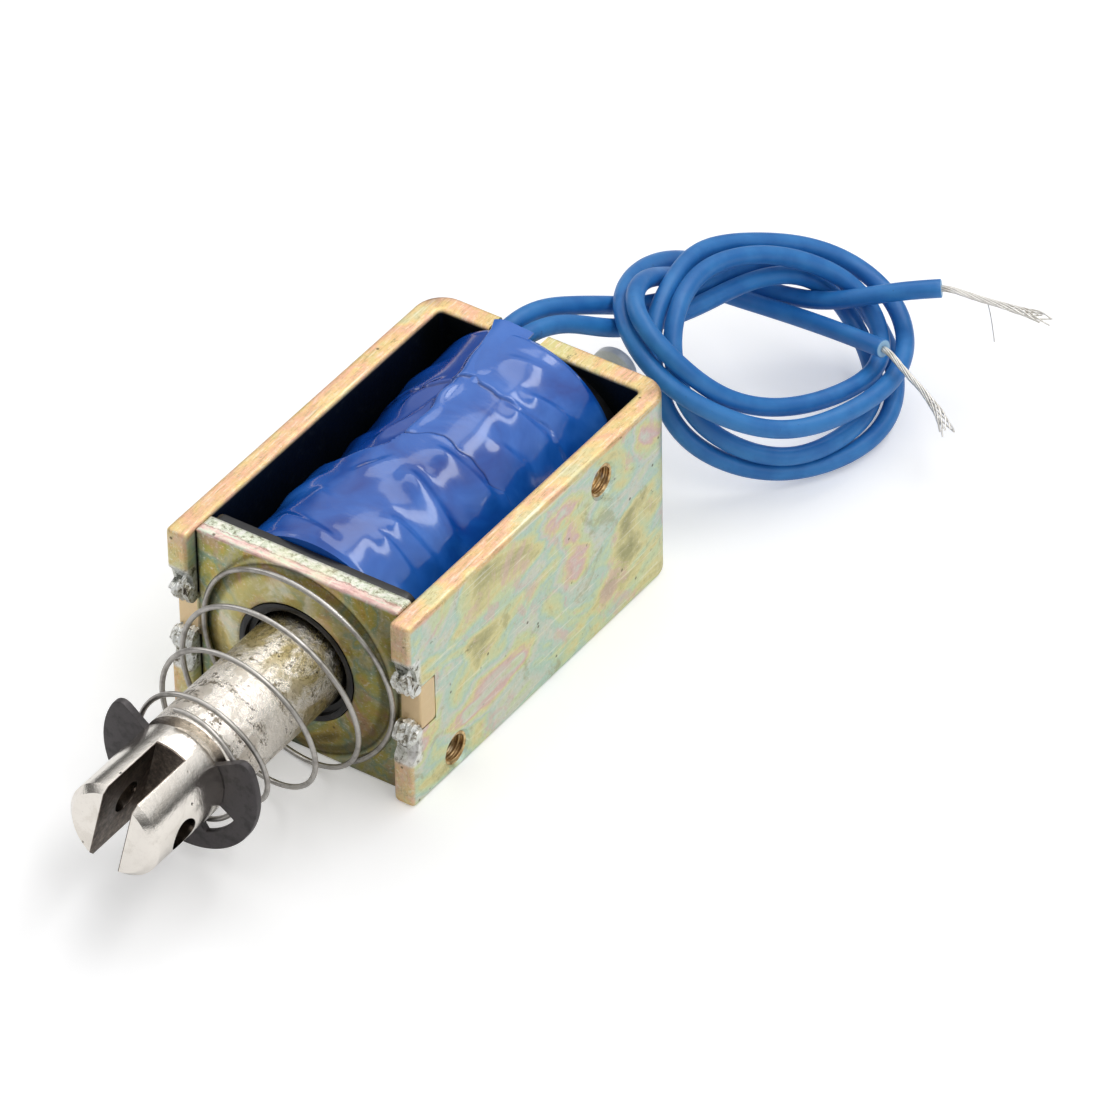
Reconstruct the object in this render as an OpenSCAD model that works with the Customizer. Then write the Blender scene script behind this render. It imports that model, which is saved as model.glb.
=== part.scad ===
// Push pull solenoid: an open bent-strap frame round a taped coil, with a
// clevis plunger in front, its conical return spring and clip, and a push rod
// behind.  The plunger runs along Y with its clevis towards -Y, +Z is up and
// the part stands on the lower edges of its frame.  The origin lies on that
// base, below the middle of the part's length.  Millimetres.

/* [Frame] */
// Width of the bent strap over its two side walls
frame_w = 33; // [32:0.5:40]
// Height of the strap
frame_h = 25.5; // [25.5:0.5:30]
// Length from the front ends of the walls to the back of the rear wall
frame_len = 52.2; // [50:0.1:60]
// Thickness of the strap
strap_t = 2.8; // [2.2:0.1:3]
// Outer radius of the two rear bends
bend_r = 3.7; // [3:0.1:5]
// Inner radius of the two rear bends
bend_inner_r = 0.6; // [0.3:0.1:1.2]

/* [Mounting holes] */
// Diameter of the two tapped holes in the right wall
tap_d = 4; // [3:0.1:4.4]
// Width of the lead-in chamfer round each tapped hole
tap_chamfer = 0.25; // [0.1:0.05:0.4]
// Distance of the rear tapped hole from the front ends of the walls
rear_tap_y = 37.8; // [30:0.1:42]
// Height of the rear tapped hole
rear_tap_z = 21.3; // [15:0.1:22]
// Distance of the front tapped hole from the front ends of the walls
front_tap_y = 8.5; // [8:0.1:20]
// Height of the front tapped hole
front_tap_z = 2.8; // [2.8:0.1:8]

/* [Front plate] */
// Thickness of the plate
plate_t = 2.8; // [2:0.1:3.5]
// How far the plate sits back from the front ends of the walls
plate_recess = 1.8; // [1.2:0.1:2.4]
// Gap between the plate and each side wall
plate_gap = 0.1; // [0.05:0.05:0.2]
// Diameter of the hole that the bobbin's collar fills
plate_hole_d = 15.6; // [15.2:0.1:16.4]
// Diameter of the raised round boss
boss_d = 24.6; // [20:0.1:25]
// Height of the boss
boss_h = 0.6; // [0.3:0.1:1]
// Width of the boss's rounded shoulder
boss_shoulder = 1.6; // [0.8:0.1:2.4]
// Height of the tab on each side of the plate
tab_h = 6; // [4:0.1:8]
// Clearance of each tab in the slot of its wall
tab_gap = 0.1; // [0.05:0.05:0.2]
// How far the tabs lie above the plunger's axis
tab_rise = 0.4; // [0:0.1:1]
// Height of each staking notch beside a tab
stake_h = 4; // [2:0.1:4.5]
// Depth of each staking notch
stake_depth = 1.3; // [0.6:0.1:1.6]
// How far the staked metal laps over a tab
stake_lap = 1; // [0.5:0.1:1.5]

/* [Bobbin and coil] */
// Outer diameter of the bobbin's tube
bobbin_tube_d = 15.4; // [15:0.1:15.4]
// Running gap round the plunger, on the radius
plunger_gap = 0.3; // [0.2:0.05:0.35]
// Thickness of the front flange
front_flange_t = 1.1; // [0.8:0.1:1.6]
// Thickness of the rear flange
rear_flange_t = 1.2; // [0.8:0.1:1.6]
// Gap of the flanges to the edges of the frame
flange_gap = 0.1; // [0.05:0.05:0.3]
// Corner radius of the front flange
flange_corner_r = 1.5; // [0.5:0.1:3]
// Thickness of the collar's lip round its mouth
collar_lip_t = 0.7; // [0.5:0.05:0.9]
// Depth of the step in the collar's mouth
collar_step = 0.8; // [0.4:0.1:1.2]
// How far the tape lies below the edge of the round flange
tape_drop = 0.1; // [0.05:0.05:0.5]
// Thickness of the tape over the wire
tape_t = 1; // [0.7:0.05:1]
// Gap of the tape to each flange and to the side wall
tape_gap = 0.1; // [0.05:0.05:0.3]
// Rise of the tape over the joints at the front flange
front_rise = 1.4; // [0.8:0.1:1.6]
// Rise of the tape over the joints at the rear flange
rear_rise = 2.7; // [2.6:0.1:2.8]
// Thickness of the strip that holds the leads down
strip_t = 0.3; // [0.2:0.05:0.5]
// Thickness of the pad under the joints
pad_t = 0.2; // [0.1:0.05:0.2]

/* [Core and plunger] */
// Diameter of the plunger
plunger_d = 12; // [11.6:0.1:12]
// Length of the plunger
plunger_len = 57.5; // [54:0.1:60]
// How far the clevis end stands in front of the wall ends
plunger_reach = 33.5; // [30:0.1:36]
// Working travel of the plunger
stroke = 10; // [6:0.1:12]
// Chamfer at both ends of the plunger
plunger_chamfer = 0.8; // [0.3:0.1:1.2]
// Roll of the clevis about the plunger's axis, in degrees
clevis_roll = 14; // [0:1:45]
// Width of the clevis slot
slot_w = 3.8; // [3:0.1:5]
// Depth of the clevis slot
slot_depth = 9.5; // [8:0.1:11]
// Diameter of the hole across the clevis
pin_hole_d = 4; // [3:0.1:4.5]
// Distance of that hole from the clevis end
pin_hole_y = 5.5; // [4:0.1:6]
// Distance of the clip groove from the clevis end
groove_y = 12.7; // [12:0.1:14]
// Width of the clip groove
groove_w = 1.6; // [1.2:0.1:2]
// Diameter at the bottom of the groove
groove_d = 9.2; // [8.4:0.1:10]
// Thickness of the soft washer on the core's face
washer_t = 0.4; // [0.2:0.1:0.8]
// Air left between the plunger and the washer at the end of the travel
washer_gap = 0.1; // [0.05:0.05:0.3]
// Gap round the core in the bobbin, on the radius
core_gap = 0.1; // [0.05:0.05:0.2]
// Diameter of the core's neck through the rear wall
neck_d = 8; // [6:0.1:9]
// Diameter of the neck's riveted head
rivet_d = 9.6; // [9.4:0.1:11]
// Height of the riveted head
rivet_h = 0.6; // [0.3:0.1:1]

/* [Push rod] */
// Diameter of the push rod
rod_d = 2.2; // [1.8:0.1:2.6]
// Gap round the push rod in the core, on the radius
rod_gap = 0.35; // [0.2:0.05:0.5]
// How far the push rod is pressed into the plunger
rod_seat = 6; // [4:0.1:10]
// How far the rim of the rod's cap stands behind the rear wall
rod_reach = 12.4; // [11:0.1:14]
// Diameter of the cap
cap_d = 5.8; // [4.5:0.1:7]
// Thickness of the cap's rim
cap_rim_t = 0.8; // [0.5:0.1:1.2]
// Height of the cap's dome
cap_dome_h = 1.2; // [0.6:0.1:2]

/* [Clip and spring] */
// Outer diameter of the clip
clip_d = 20.8; // [18:0.1:21]
// Diameter inside the clip's arms
clip_inner_d = 16.2; // [14:0.1:17]
// Thickness of the clip
clip_t = 0.9; // [0.6:0.1:1]
// Gap between the clip's tongues and the bottom of the groove
clip_gap = 0.3; // [0.1:0.05:0.3]
// Wire diameter of the spring
wire_d = 0.65; // [0.5:0.05:0.8]
// Gap between the spring's widest turn and each side wall
spring_side_gap = 0.1; // [0.05:0.05:0.4]
// How far the spring's turns lean forward on one side
spring_lean = 2.1; // [0:0.1:2.2]
// Gap between the spring's narrowest turn and the plunger
spring_plunger_gap = 0.9; // [0.3:0.1:1.2]
// Gap between the spring and each of its seats
spring_gap = 0.05; // [0.02:0.01:0.1]

/* [Leads] */
// Outer diameter of each lead
lead_d = 2.2; // [1.8:0.1:2.2]
// Height of the middle of the outer lead over the copper
lead_seat = 0.65; // [0.6:0.05:0.8]
// Room under the leads in the slots that let them out
lead_slot_gap = 0.3; // [0.2:0.05:0.4]
// Diameter of each bare bundle of strands
strand_d = 0.9; // [0.6:0.1:1.2]
// Diameter of a soldered joint
joint_d = 1.6; // [1.2:0.1:1.8]
// Length of a soldered joint
joint_len = 5; // [3:0.1:5]
// Diameter of the magnet wire
magnet_wire_d = 0.4; // [0.2:0.05:0.4]

/* [Hidden] */

$fn = 96;
// Overshoot of every cutting solid past the face that it opens
cut = 1;

// Places across and up the frame
axis_z = frame_h / 2;
inner_w = frame_w - 2 * strap_t;
right_inner_x = inner_w / 2;
tab_z = axis_z + tab_rise;

// Places along the frame, from the front ends of the walls
plate_front_y = plate_recess;
plate_rear_y = plate_front_y + plate_t;
boss_front_y = plate_front_y - boss_h;
rear_inner_y = frame_len - strap_t;
coil_front_y = plate_rear_y + front_flange_t;
coil_rear_y = rear_inner_y - rear_flange_t;

// Places along the plunger
tip_y = -plunger_reach;
plunger_rear_y = tip_y + plunger_len;
groove_front_y = tip_y + groove_y;
groove_rear_y = groove_front_y + groove_w;
washer_front_y = plunger_rear_y + stroke + washer_gap;
core_front_y = washer_front_y + washer_t;
clip_front_y = groove_front_y + spring_gap;
clip_rear_y = clip_front_y + clip_t;
cap_rim_y = frame_len + rod_reach;
rear_end_y = cap_rim_y + cap_dome_h;
mid_y = (tip_y + rear_end_y) / 2;

// Radii of the coil
tube_r = bobbin_tube_d / 2;
flange_r = min(axis_z, right_inner_x) - flange_gap / 2;
tape_r = flange_r - tape_drop;
winding_r = tape_r - tape_t;

// Thickness of the slices that the tape's body is lofted between
slab = 0.5;

// Direction in which the tape rises over the joints, seen from the front: it
// leans to the left only as far as the side wall lets it
full_lean = 0.37;
rise_x = -min(full_lean, (right_inner_x - tape_gap - tape_r) / rear_rise);
rise_z = 0.93;

// The leads leave side by side through one slot in the rear wall
slot_margin = 2.4;
lead_side_gap = 0.4;
slot_left_x = -(winding_r + slot_margin) / 2;
lead_a_x = slot_left_x + lead_side_gap + lead_d / 2;
slot_right_x = -1.4;
wall_slot_right_x = -0.4;
lead_a_z = axis_z + winding_r + lead_seat;
lead_b_z = lead_a_z + 0.5;
lead_slot_z = lead_a_z - lead_d / 2 - lead_slot_gap;
lead_start_y = 44;
joint_space_y = lead_start_y - 2 * joint_len;
strip_front_y = 33;
strip_rear_y = 51;
pad_front_y = 36;

// Route of each lead, from its joint to its bare end
lead_a_route = [
    [lead_a_x, lead_start_y, lead_a_z], [lead_a_x, 50, lead_a_z], [lead_a_x, 55, lead_a_z], [-4.5, 58.5, 24],
    [-3, 62.5, 22], [-2, 66.5, 20], [-0.5, 70, 18], [2, 76, 17],
    [3, 83, 16], [4.5, 90.5, 13.5], [8, 96, 10.5], [13, 97, 7],
    [18, 94.5, 5], [22, 90.5, 3.5], [24.5, 84, 2], [23, 76.5, 1.5],
    [19.5, 70.5, 2], [14.5, 65.5, 4.5], [9.5, 62.5, 9.5], [7, 62.5, 15],
    [4.5, 65, 19.5], [3, 71, 21.5], [1.5, 79.5, 21], [4.5, 89, 17.5],
    [9.5, 96, 13.5], [15, 97.5, 10.5], [20.5, 94.5, 8.5], [24, 88, 7.5],
    [24, 79, 8], [20.5, 69, 9.5], [14.5, 62.5, 14], [8, 60, 19],
    [2.5, 62.5, 22], [-1.5, 69, 21.5], [-3, 77, 19], [-2.5, 83.5, 15.5],
    [-1, 87.5, 12], [2, 89.5, 9.5], [6.5, 90.5, 9.5], [11.5, 90.5, 10.5],
    [18, 93, 13], [24, 96.5, 14]
];
lead_b_route = [
    [-3, lead_start_y, lead_b_z], [-3, 50, lead_b_z], [-2, 55.5, 24.5], [-1, 59, 22.5],
    [0.5, 62.5, 20], [2, 67.5, 18], [4, 73.5, 17], [5, 80.5, 16],
    [6.5, 87.5, 14.5], [9.5, 93, 11.5], [13, 94, 7.5], [16.5, 92.5, 4.5],
    [20, 89, 3.5], [22.5, 83.5, 3.5], [22.5, 76, 4], [20, 70, 4.5],
    [15, 66, 7], [11, 63.5, 11.5], [9, 63.5, 16], [7, 65.5, 20],
    [5.5, 70, 22], [4.5, 77, 21.5], [6.5, 86, 18.5], [11, 92.5, 14],
    [15, 94.5, 10.5], [18, 93, 8], [21, 89, 7], [21, 81.5, 7.5],
    [18, 72.5, 9.5], [14, 65, 14.5], [9, 61.5, 21], [4.5, 62, 24],
    [1.5, 66.5, 24], [0, 73.5, 20.5], [0, 80, 16], [0, 84.5, 11.5],
    [2.5, 87, 9.5], [6, 88, 9], [13, 88, 9.5], [22.5, 86.5, 11]
];
strands_a_route = [[24, 96.5, 14], [27, 97.6, 13.6], [30.5, 98.7, 13], [34, 99.8, 12.4], [37, 100.6, 11.9]];
strands_b_route = [[22.5, 86.5, 11], [25.5, 85.8, 10], [29.5, 84.7, 8.5], [32.5, 83.4, 7], [34.8, 81.9, 5.7]];

// Puts what is drawn from the wall ends into the part's own frame
module placed()
    translate([0, -mid_y, 0]) children();

// Extrudes an outline drawn in X and Z from y0 to y1
module along_y(y0, y1)
    translate([0, y1, 0]) rotate([90, 0, 0]) linear_extrude(height = y1 - y0) children();

// The same, round the plunger's axis
module round_axis(y0, y1)
    translate([0, 0, axis_z]) along_y(y0, y1) children();

// Turns an outline of radius and Y about the plunger's axis
module turned()
    translate([0, 0, axis_z]) rotate([-90, 0, 0]) rotate_extrude() children();

// A rectangle with round corners, centred
module rounded_rect(w, h, r) {
    square([w - 2 * r, h], center = true);
    square([w, h - 2 * r], center = true);
    for (x = [-1, 1], z = [-1, 1])
        translate([x * (w / 2 - r), z * (h / 2 - r)]) circle(r);
}

// A U outline's filled shape, open end at y = 0 and rounded rear corners
module strap_outline(w, len, r) {
    translate([-w / 2, 0]) square([w, len - r]);
    translate([-w / 2 + r, 0]) square([w - 2 * r, len]);
    for (x = [-1, 1])
        translate([x * (w / 2 - r), len - r]) circle(r);
}

// Helpers for a round wire swept along a list of points
function unit(v) = v / norm(v);
function heading(p, i) =
    unit(p[min(i + 1, len(p) - 1)] - p[max(i - 1, 0)]);
function ring(p, i, r, sides, up) =
    let (t = heading(p, i), a = unit(cross(t, up)), b = cross(a, t))
    [for (k = [0:sides - 1])
        p[i] + r * (cos(k * 360 / sides) * a + sin(k * 360 / sides) * b)];

module wire(p, d, sides = 8, up = [0, 0, 1]) {
    n = len(p);
    points = [for (i = [0:n - 1]) each ring(p, i, d / 2, sides, up)];
    skin = [for (i = [0:n - 2], k = [0:sides - 1])
        let (a = i * sides + k, b = i * sides + (k + 1) % sides)
        each [[a, b, a + sides], [b, b + sides, a + sides]]];
    start_cap = [for (k = [sides - 1:-1:0]) k];
    end_cap = [for (k = [0:sides - 1]) (n - 1) * sides + k];
    polyhedron(points, concat(skin, [start_cap], [end_cap]));
}

module tapped_hole(y, z) {
    depth = strap_t + 2 * cut;
    translate([right_inner_x - cut, y, z]) rotate([0, 90, 0]) cylinder(d = tap_d, h = depth);
    translate([frame_w / 2 - tap_chamfer, y, z]) rotate([0, 90, 0])
        cylinder(d1 = tap_d, d2 = tap_d + 4 * tap_chamfer, h = 2 * tap_chamfer);
}

// The notch that a chisel leaves beside a tab, seen along X
module stake_notch(z, side) {
    translate([-frame_w / 2 - cut, 0, z]) rotate([90, 0, 90]) linear_extrude(height = frame_w + 2 * cut)
        polygon([[-cut, 0], [-cut, side * stake_h], [0, side * stake_h], [stake_depth, side * stake_h * 0.3], [0.4, 0]]);
}

// The metal pushed over a tab's front face
module stake_lip(z, side) {
    for (x = [-frame_w / 2, right_inner_x])
        translate([x, 0, z]) rotate([90, 0, 90]) linear_extrude(height = strap_t)
            polygon([
                [0.4, side * tab_gap], [plate_front_y, side * tab_gap],
                [plate_front_y, -side * stake_lap], [0.9, -side * stake_lap * 0.7]
            ]);
}

module frame() {
    color("darkkhaki")
    union() {
        difference() {
            linear_extrude(height = frame_h) difference() {
                strap_outline(frame_w, frame_len, bend_r);
                translate([0, -cut]) strap_outline(inner_w, rear_inner_y + cut, bend_inner_r);
            }
            tapped_hole(rear_tap_y, rear_tap_z);
            tapped_hole(front_tap_y, front_tap_z);
            round_axis(rear_inner_y - cut, frame_len + cut) circle(d = neck_d);
            translate([-frame_w / 2 - cut, -cut, tab_z - tab_h / 2 - tab_gap])
                cube([frame_w + 2 * cut, plate_rear_y + cut, tab_h + 2 * tab_gap]);
            translate([slot_left_x, rear_inner_y - cut, lead_slot_z])
                cube([wall_slot_right_x - slot_left_x, strap_t + 2 * cut, frame_h]);
            stake_notch(tab_z + tab_h / 2 + tab_gap, 1);
            stake_notch(tab_z - tab_h / 2 - tab_gap, -1);
        }
        stake_lip(tab_z + tab_h / 2, 1);
        stake_lip(tab_z - tab_h / 2, -1);
    }
}

module front_plate() {
    boss_r = boss_d / 2;
    shoulder = [for (a = [0:15:90])
        [boss_r - boss_shoulder * (1 - cos(a)), plate_front_y - boss_h * sin(a)]];
    color("khaki")
    difference() {
        union() {
            translate([-right_inner_x + plate_gap, plate_front_y, 0])
                cube([inner_w - 2 * plate_gap, plate_t, frame_h]);
            translate([-frame_w / 2, plate_front_y, tab_z - tab_h / 2])
                cube([frame_w, plate_t, tab_h]);
            turned() polygon(concat([[0, boss_front_y], [0, plate_rear_y], [boss_r, plate_rear_y]], shoulder));
        }
        round_axis(boss_front_y - cut, plate_rear_y + cut) circle(d = plate_hole_d);
    }
}

module bobbin() {
    color("#1c1c1e")
    difference() {
        union() {
            round_axis(boss_front_y, rear_inner_y) circle(tube_r);
            round_axis(plate_rear_y, coil_front_y)
                rounded_rect(inner_w - 2 * flange_gap, frame_h - 2 * flange_gap, flange_corner_r);
            round_axis(coil_rear_y, rear_inner_y) circle(flange_r);
        }
        round_axis(boss_front_y - cut, rear_inner_y + cut) circle(plunger_d / 2 + plunger_gap);
        round_axis(boss_front_y - cut, boss_front_y + collar_step) circle(r = tube_r - collar_lip_t);
        translate([slot_left_x, coil_rear_y - cut, lead_slot_z])
            cube([slot_right_x - slot_left_x, rear_flange_t + 2 * cut, frame_h]);
    }
}

module winding() {
    color("#b06a35")
    round_axis(coil_front_y, coil_rear_y) difference() {
        circle(winding_r);
        circle(tube_r);
    }
}

// Outline of the taped coil at one place along it, raised over the joints
function rise_at(y) =
    front_rise + (rear_rise - front_rise) * (y - coil_front_y) / (coil_rear_y - coil_front_y);

module tape_section(r, y) {
    round_axis(y, y + slab) circle(r, $fn = 64);
    translate([rise_x * rise_at(y), 0, rise_z * rise_at(y)]) round_axis(y, y + slab) circle(r, $fn = 64);
}

module tape_body(r, y0, y1)
    hull() {
        tape_section(r, y0);
        tape_section(r, y1 - slab);
    }

// The space that the joints and the leads' ends fill under the tape
module joint_space(r, y0, y1)
    intersection() {
        tape_body(r, y0, y1);
        translate([slot_left_x, y0 - cut, axis_z]) cube([slot_right_x - slot_left_x, y1 - y0 + 2 * cut, frame_h]);
    }

module coil_tape() {
    color("#2a4fb8")
    difference() {
        tape_body(tape_r, coil_front_y + tape_gap, coil_rear_y - tape_gap);
        round_axis(coil_front_y - cut, coil_rear_y + cut) circle(winding_r);
        joint_space(tape_r - tape_t / 2, joint_space_y, coil_rear_y + cut);
    }
}

module joint_strip() {
    color("#3d63c9")
    intersection() {
        difference() {
            tape_body(tape_r + strip_t, strip_front_y, strip_rear_y);
            tape_body(tape_r, strip_front_y - cut, strip_rear_y + cut);
        }
        translate([slot_left_x - 1.5, strip_front_y - cut, axis_z])
            cube([wall_slot_right_x - slot_left_x + 3, strip_rear_y, frame_h]);
    }
}

module joint_pad() {
    color("#d8b64a")
    round_axis(pad_front_y, coil_rear_y - tape_gap) intersection() {
        difference() {
            circle(winding_r + pad_t);
            circle(winding_r);
        }
        translate([slot_left_x, 0]) square([slot_right_x - slot_left_x, frame_h]);
    }
}

module pole_core() {
    core_r = plunger_d / 2 + plunger_gap - core_gap;
    rivet_rear_y = frame_len + rivet_h;
    color("silver")
    difference() {
        turned() polygon([
            [0, core_front_y], [core_r - 0.4, core_front_y], [core_r, core_front_y + 0.4],
            [core_r, rear_inner_y], [neck_d / 2, rear_inner_y], [neck_d / 2, frame_len],
            [rivet_d / 2, frame_len], [rivet_d / 2 - rivet_h / 2, rivet_rear_y], [0, rivet_rear_y]
        ]);
        round_axis(core_front_y - cut, rivet_rear_y + cut) circle(rod_d / 2 + rod_gap);
    }
}

module gap_washer() {
    color("whitesmoke")
    round_axis(washer_front_y, core_front_y) difference() {
        circle(d = plunger_d - 2 * plunger_chamfer);
        circle(rod_d / 2 + rod_gap);
    }
}

// Turns of the spring: the wire starts low on the right and runs over the top.
// Both end turns are closed, and the open turns between them lean forward most
// on the upper right
first_angle = -60;
open_angle = 118;
closed_angle = 1320;
last_angle = 1540;
step_angle = 15;
lean_angle = 46;
lean_grown_angle = 120;
lean_fading_angle = 1120;
spring_big_r = right_inner_x - spring_side_gap - wire_d / 2;
spring_small_r = plunger_d / 2 + spring_plunger_gap + wire_d / 2;
spring_rear_y = plate_front_y - wire_d / 2 - spring_gap;
spring_front_y = clip_rear_y + wire_d / 2 + spring_gap;

// Share of the way from the widest to the narrowest turn
narrowing = [
    [first_angle, 0], [0, 0], [180, 0.1], [270, 0.16], [360, 0.2], [540, 0.34],
    [720, 0.45], [900, 0.66], [1080, 0.82], [1260, 0.95], [last_angle, 1]
];

// Rises from 0 to 1 between two angles, level at both ends
function eased(a, a0, a1) = let (u = max(0, min(1, (a - a0) / (a1 - a0)))) u * u * (3 - 2 * u);
// Rises from 0 to 1 at an even pitch, with a short bend into each closed end
function pitched(a, bend = 0.12) =
    let (u = max(-bend, min(1 + bend, (a - open_angle) / (closed_angle - open_angle))))
    u < bend ? pow(u + bend, 2) / (4 * bend)
    : u > 1 - bend ? 1 - pow(1 + bend - u, 2) / (4 * bend) : u;

function spring_r(a) =
    spring_big_r + (spring_small_r - spring_big_r) * lookup(a, narrowing);
function spring_y(a) =
    let (
        lean = spring_lean * spring_r(a) / spring_big_r * cos(a - lean_angle)
            * eased(a, first_angle, lean_grown_angle) * (1 - eased(a, lean_fading_angle, closed_angle))
    )
    min(spring_rear_y, spring_rear_y + (spring_front_y - spring_rear_y) * pitched(a) - lean);

module return_spring() {
    path = [for (a = [first_angle:step_angle:last_angle])
        [spring_r(a) * cos(a), spring_y(a), axis_z + spring_r(a) * sin(a)]];
    color("#9a9a98") wire(path, wire_d, 6, [0, 1, 0]);
}

// A wedge of a disc between two angles, seen from the front
module wedge(r, angles)
    polygon(concat([[0, 0]], [for (a = [angles[0]:(angles[1] - angles[0]) / 12:angles[1]]) r * [cos(a), sin(a)]]));

// Where the clip's ring is open, and where its arms are cut back
mouth_angles = [30, 140];
left_arm_angles = [197, 240];
right_arm_angles = [290, 333];

module clip() {
    tongue_r = groove_d / 2 + clip_gap;
    color("#2c2c2e")
    round_axis(clip_front_y, clip_rear_y) difference() {
        circle(d = clip_d);
        circle(tongue_r);
        wedge(clip_d, mouth_angles);
        intersection() {
            circle(d = clip_inner_d);
            union() {
                wedge(clip_d, left_arm_angles);
                wedge(clip_d, right_arm_angles);
            }
        }
    }
}

module plunger() {
    r = plunger_d / 2;
    color("gainsboro")
    difference() {
        turned() polygon([
            [0, tip_y], [r - plunger_chamfer, tip_y], [r, tip_y + plunger_chamfer],
            [r, groove_front_y], [groove_d / 2, groove_front_y],
            [groove_d / 2, groove_rear_y], [r, groove_rear_y],
            [r, plunger_rear_y - plunger_chamfer], [r - plunger_chamfer, plunger_rear_y],
            [0, plunger_rear_y]
        ]);
        round_axis(plunger_rear_y - rod_seat, plunger_rear_y + cut) circle(d = rod_d);
        translate([0, tip_y, axis_z]) rotate([0, clevis_roll, 0]) {
            translate([-slot_w / 2, -cut, -plunger_d]) cube([slot_w, slot_depth + cut, 2 * plunger_d]);
            translate([-plunger_d, pin_hole_y, 0]) rotate([0, 90, 0]) cylinder(d = pin_hole_d, h = 2 * plunger_d);
        }
    }
}

module push_rod() {
    color("dimgray")
    round_axis(plunger_rear_y - rod_seat, cap_rim_y) circle(d = rod_d);
}

module rod_cap() {
    dome = [for (a = [15:15:90]) [cap_d / 2 * cos(a), cap_rim_y + cap_dome_h * sin(a)]];
    rim_front_y = cap_rim_y - cap_rim_t;
    color("white")
    turned() polygon(concat(
        [[0, cap_rim_y], [rod_d / 2, cap_rim_y], [rod_d / 2, rim_front_y], [cap_d / 2, rim_front_y], [cap_d / 2, cap_rim_y]],
        dome
    ));
}

// A soldered joint just ahead of where its lead starts
module joint(start) {
    color("silver")
    translate([start.x, 0, start.z]) along_y(start.y - joint_len, start.y) circle(d = joint_d, $fn = 24);
}

// Magnet wire from a joint down to the winding
module coil_tail(start) {
    rest_r = winding_r + magnet_wire_d / 2;
    front_y = start.y - joint_len;
    rest_z = axis_z + sqrt(rest_r * rest_r - start.x * start.x);
    color("#b06a35")
    wire([
        [start.x, front_y, start.z], [start.x, front_y - 1.2, start.z - 0.3],
        [start.x, front_y - 2.6, rest_z + 0.5], [start.x, front_y - 3.6, rest_z + 0.1],
        [start.x, front_y - 4.6, rest_z + 0.02]
    ], magnet_wire_d, 6);
}

module joint_a() joint(lead_a_route[0]);
module joint_b() joint(lead_b_route[0]);
module coil_tail_a() coil_tail(lead_a_route[0]);
module coil_tail_b() coil_tail(lead_b_route[0]);

module lead_a()
    color("steelblue") wire(lead_a_route, lead_d);

module lead_b()
    color("steelblue") wire(lead_b_route, lead_d);

module strands_a()
    color("lightgray") wire(strands_a_route, strand_d, 6);

module strands_b()
    color("lightgray") wire(strands_b_route, strand_d, 6);

placed() frame();
placed() front_plate();
placed() bobbin();
placed() winding();
placed() coil_tape();
placed() joint_strip();
placed() joint_pad();
placed() pole_core();
placed() gap_washer();
placed() return_spring();
placed() clip();
placed() plunger();
placed() push_rod();
placed() rod_cap();
placed() joint_a();
placed() joint_b();
placed() coil_tail_a();
placed() coil_tail_b();
placed() lead_a();
placed() lead_b();
placed() strands_a();
placed() strands_b();
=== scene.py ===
"""A push pull solenoid on a pale floor: each piece is built and dressed round its fixed model.

Sizes are millimetres inside the classes and metres in Blender.
"""

import logging
import math
from dataclasses import dataclass
from enum import Enum

import bpy
import numpy as np
from mathutils import Matrix, Vector


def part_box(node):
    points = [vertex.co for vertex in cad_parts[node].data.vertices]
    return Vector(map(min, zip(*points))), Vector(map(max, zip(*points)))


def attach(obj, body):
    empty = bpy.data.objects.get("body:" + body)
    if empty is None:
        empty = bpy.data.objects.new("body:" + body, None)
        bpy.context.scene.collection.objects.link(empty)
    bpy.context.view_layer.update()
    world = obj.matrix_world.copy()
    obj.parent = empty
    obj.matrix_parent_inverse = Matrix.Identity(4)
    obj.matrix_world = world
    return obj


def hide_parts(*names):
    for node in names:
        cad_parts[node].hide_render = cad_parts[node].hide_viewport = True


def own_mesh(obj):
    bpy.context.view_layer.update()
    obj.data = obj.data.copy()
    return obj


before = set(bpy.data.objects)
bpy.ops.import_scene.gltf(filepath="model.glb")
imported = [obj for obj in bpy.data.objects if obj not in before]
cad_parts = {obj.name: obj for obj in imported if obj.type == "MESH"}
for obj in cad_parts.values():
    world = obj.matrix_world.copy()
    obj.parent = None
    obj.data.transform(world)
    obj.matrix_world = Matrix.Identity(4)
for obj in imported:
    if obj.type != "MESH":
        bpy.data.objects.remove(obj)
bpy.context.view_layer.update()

LOG = logging.getLogger("solenoid")
MM = 0.001
AXIS_Z = 12.75  # height of the plunger's axis
TAB_Z = 13.15  # height of the front plate's tabs, at their middle


class Body(Enum):
    """The bodies that a piece can move with."""

    HOUSING = "solenoid"
    CLIP = "spring_clip"
    PLUNGER = "plunger"


# ---------------------------------------------------------------- numbers


def unit(v: np.ndarray) -> np.ndarray:
    """Returns vectors scaled to length one along the last axis."""
    return v / np.maximum(np.linalg.norm(v, axis=-1, keepdims=True), 1e-12)


def ease(x: np.ndarray, low: float = 0.0, high: float = 1.0) -> np.ndarray:
    """Rises smoothly from 0 at low to 1 at high: t squared times 3 minus 2t."""
    t = np.clip((x - low) / (high - low), 0.0, 1.0)
    return t * t * (3 - 2 * t)


def box_mm(node: str) -> tuple[np.ndarray, np.ndarray]:
    """Gives a model node's lowest and highest corners.

    Args:
        node: name of the node.

    Returns:
        Both corners in millimetres.
    """
    low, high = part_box(node)
    return np.array(low) / MM, np.array(high) / MM


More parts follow.
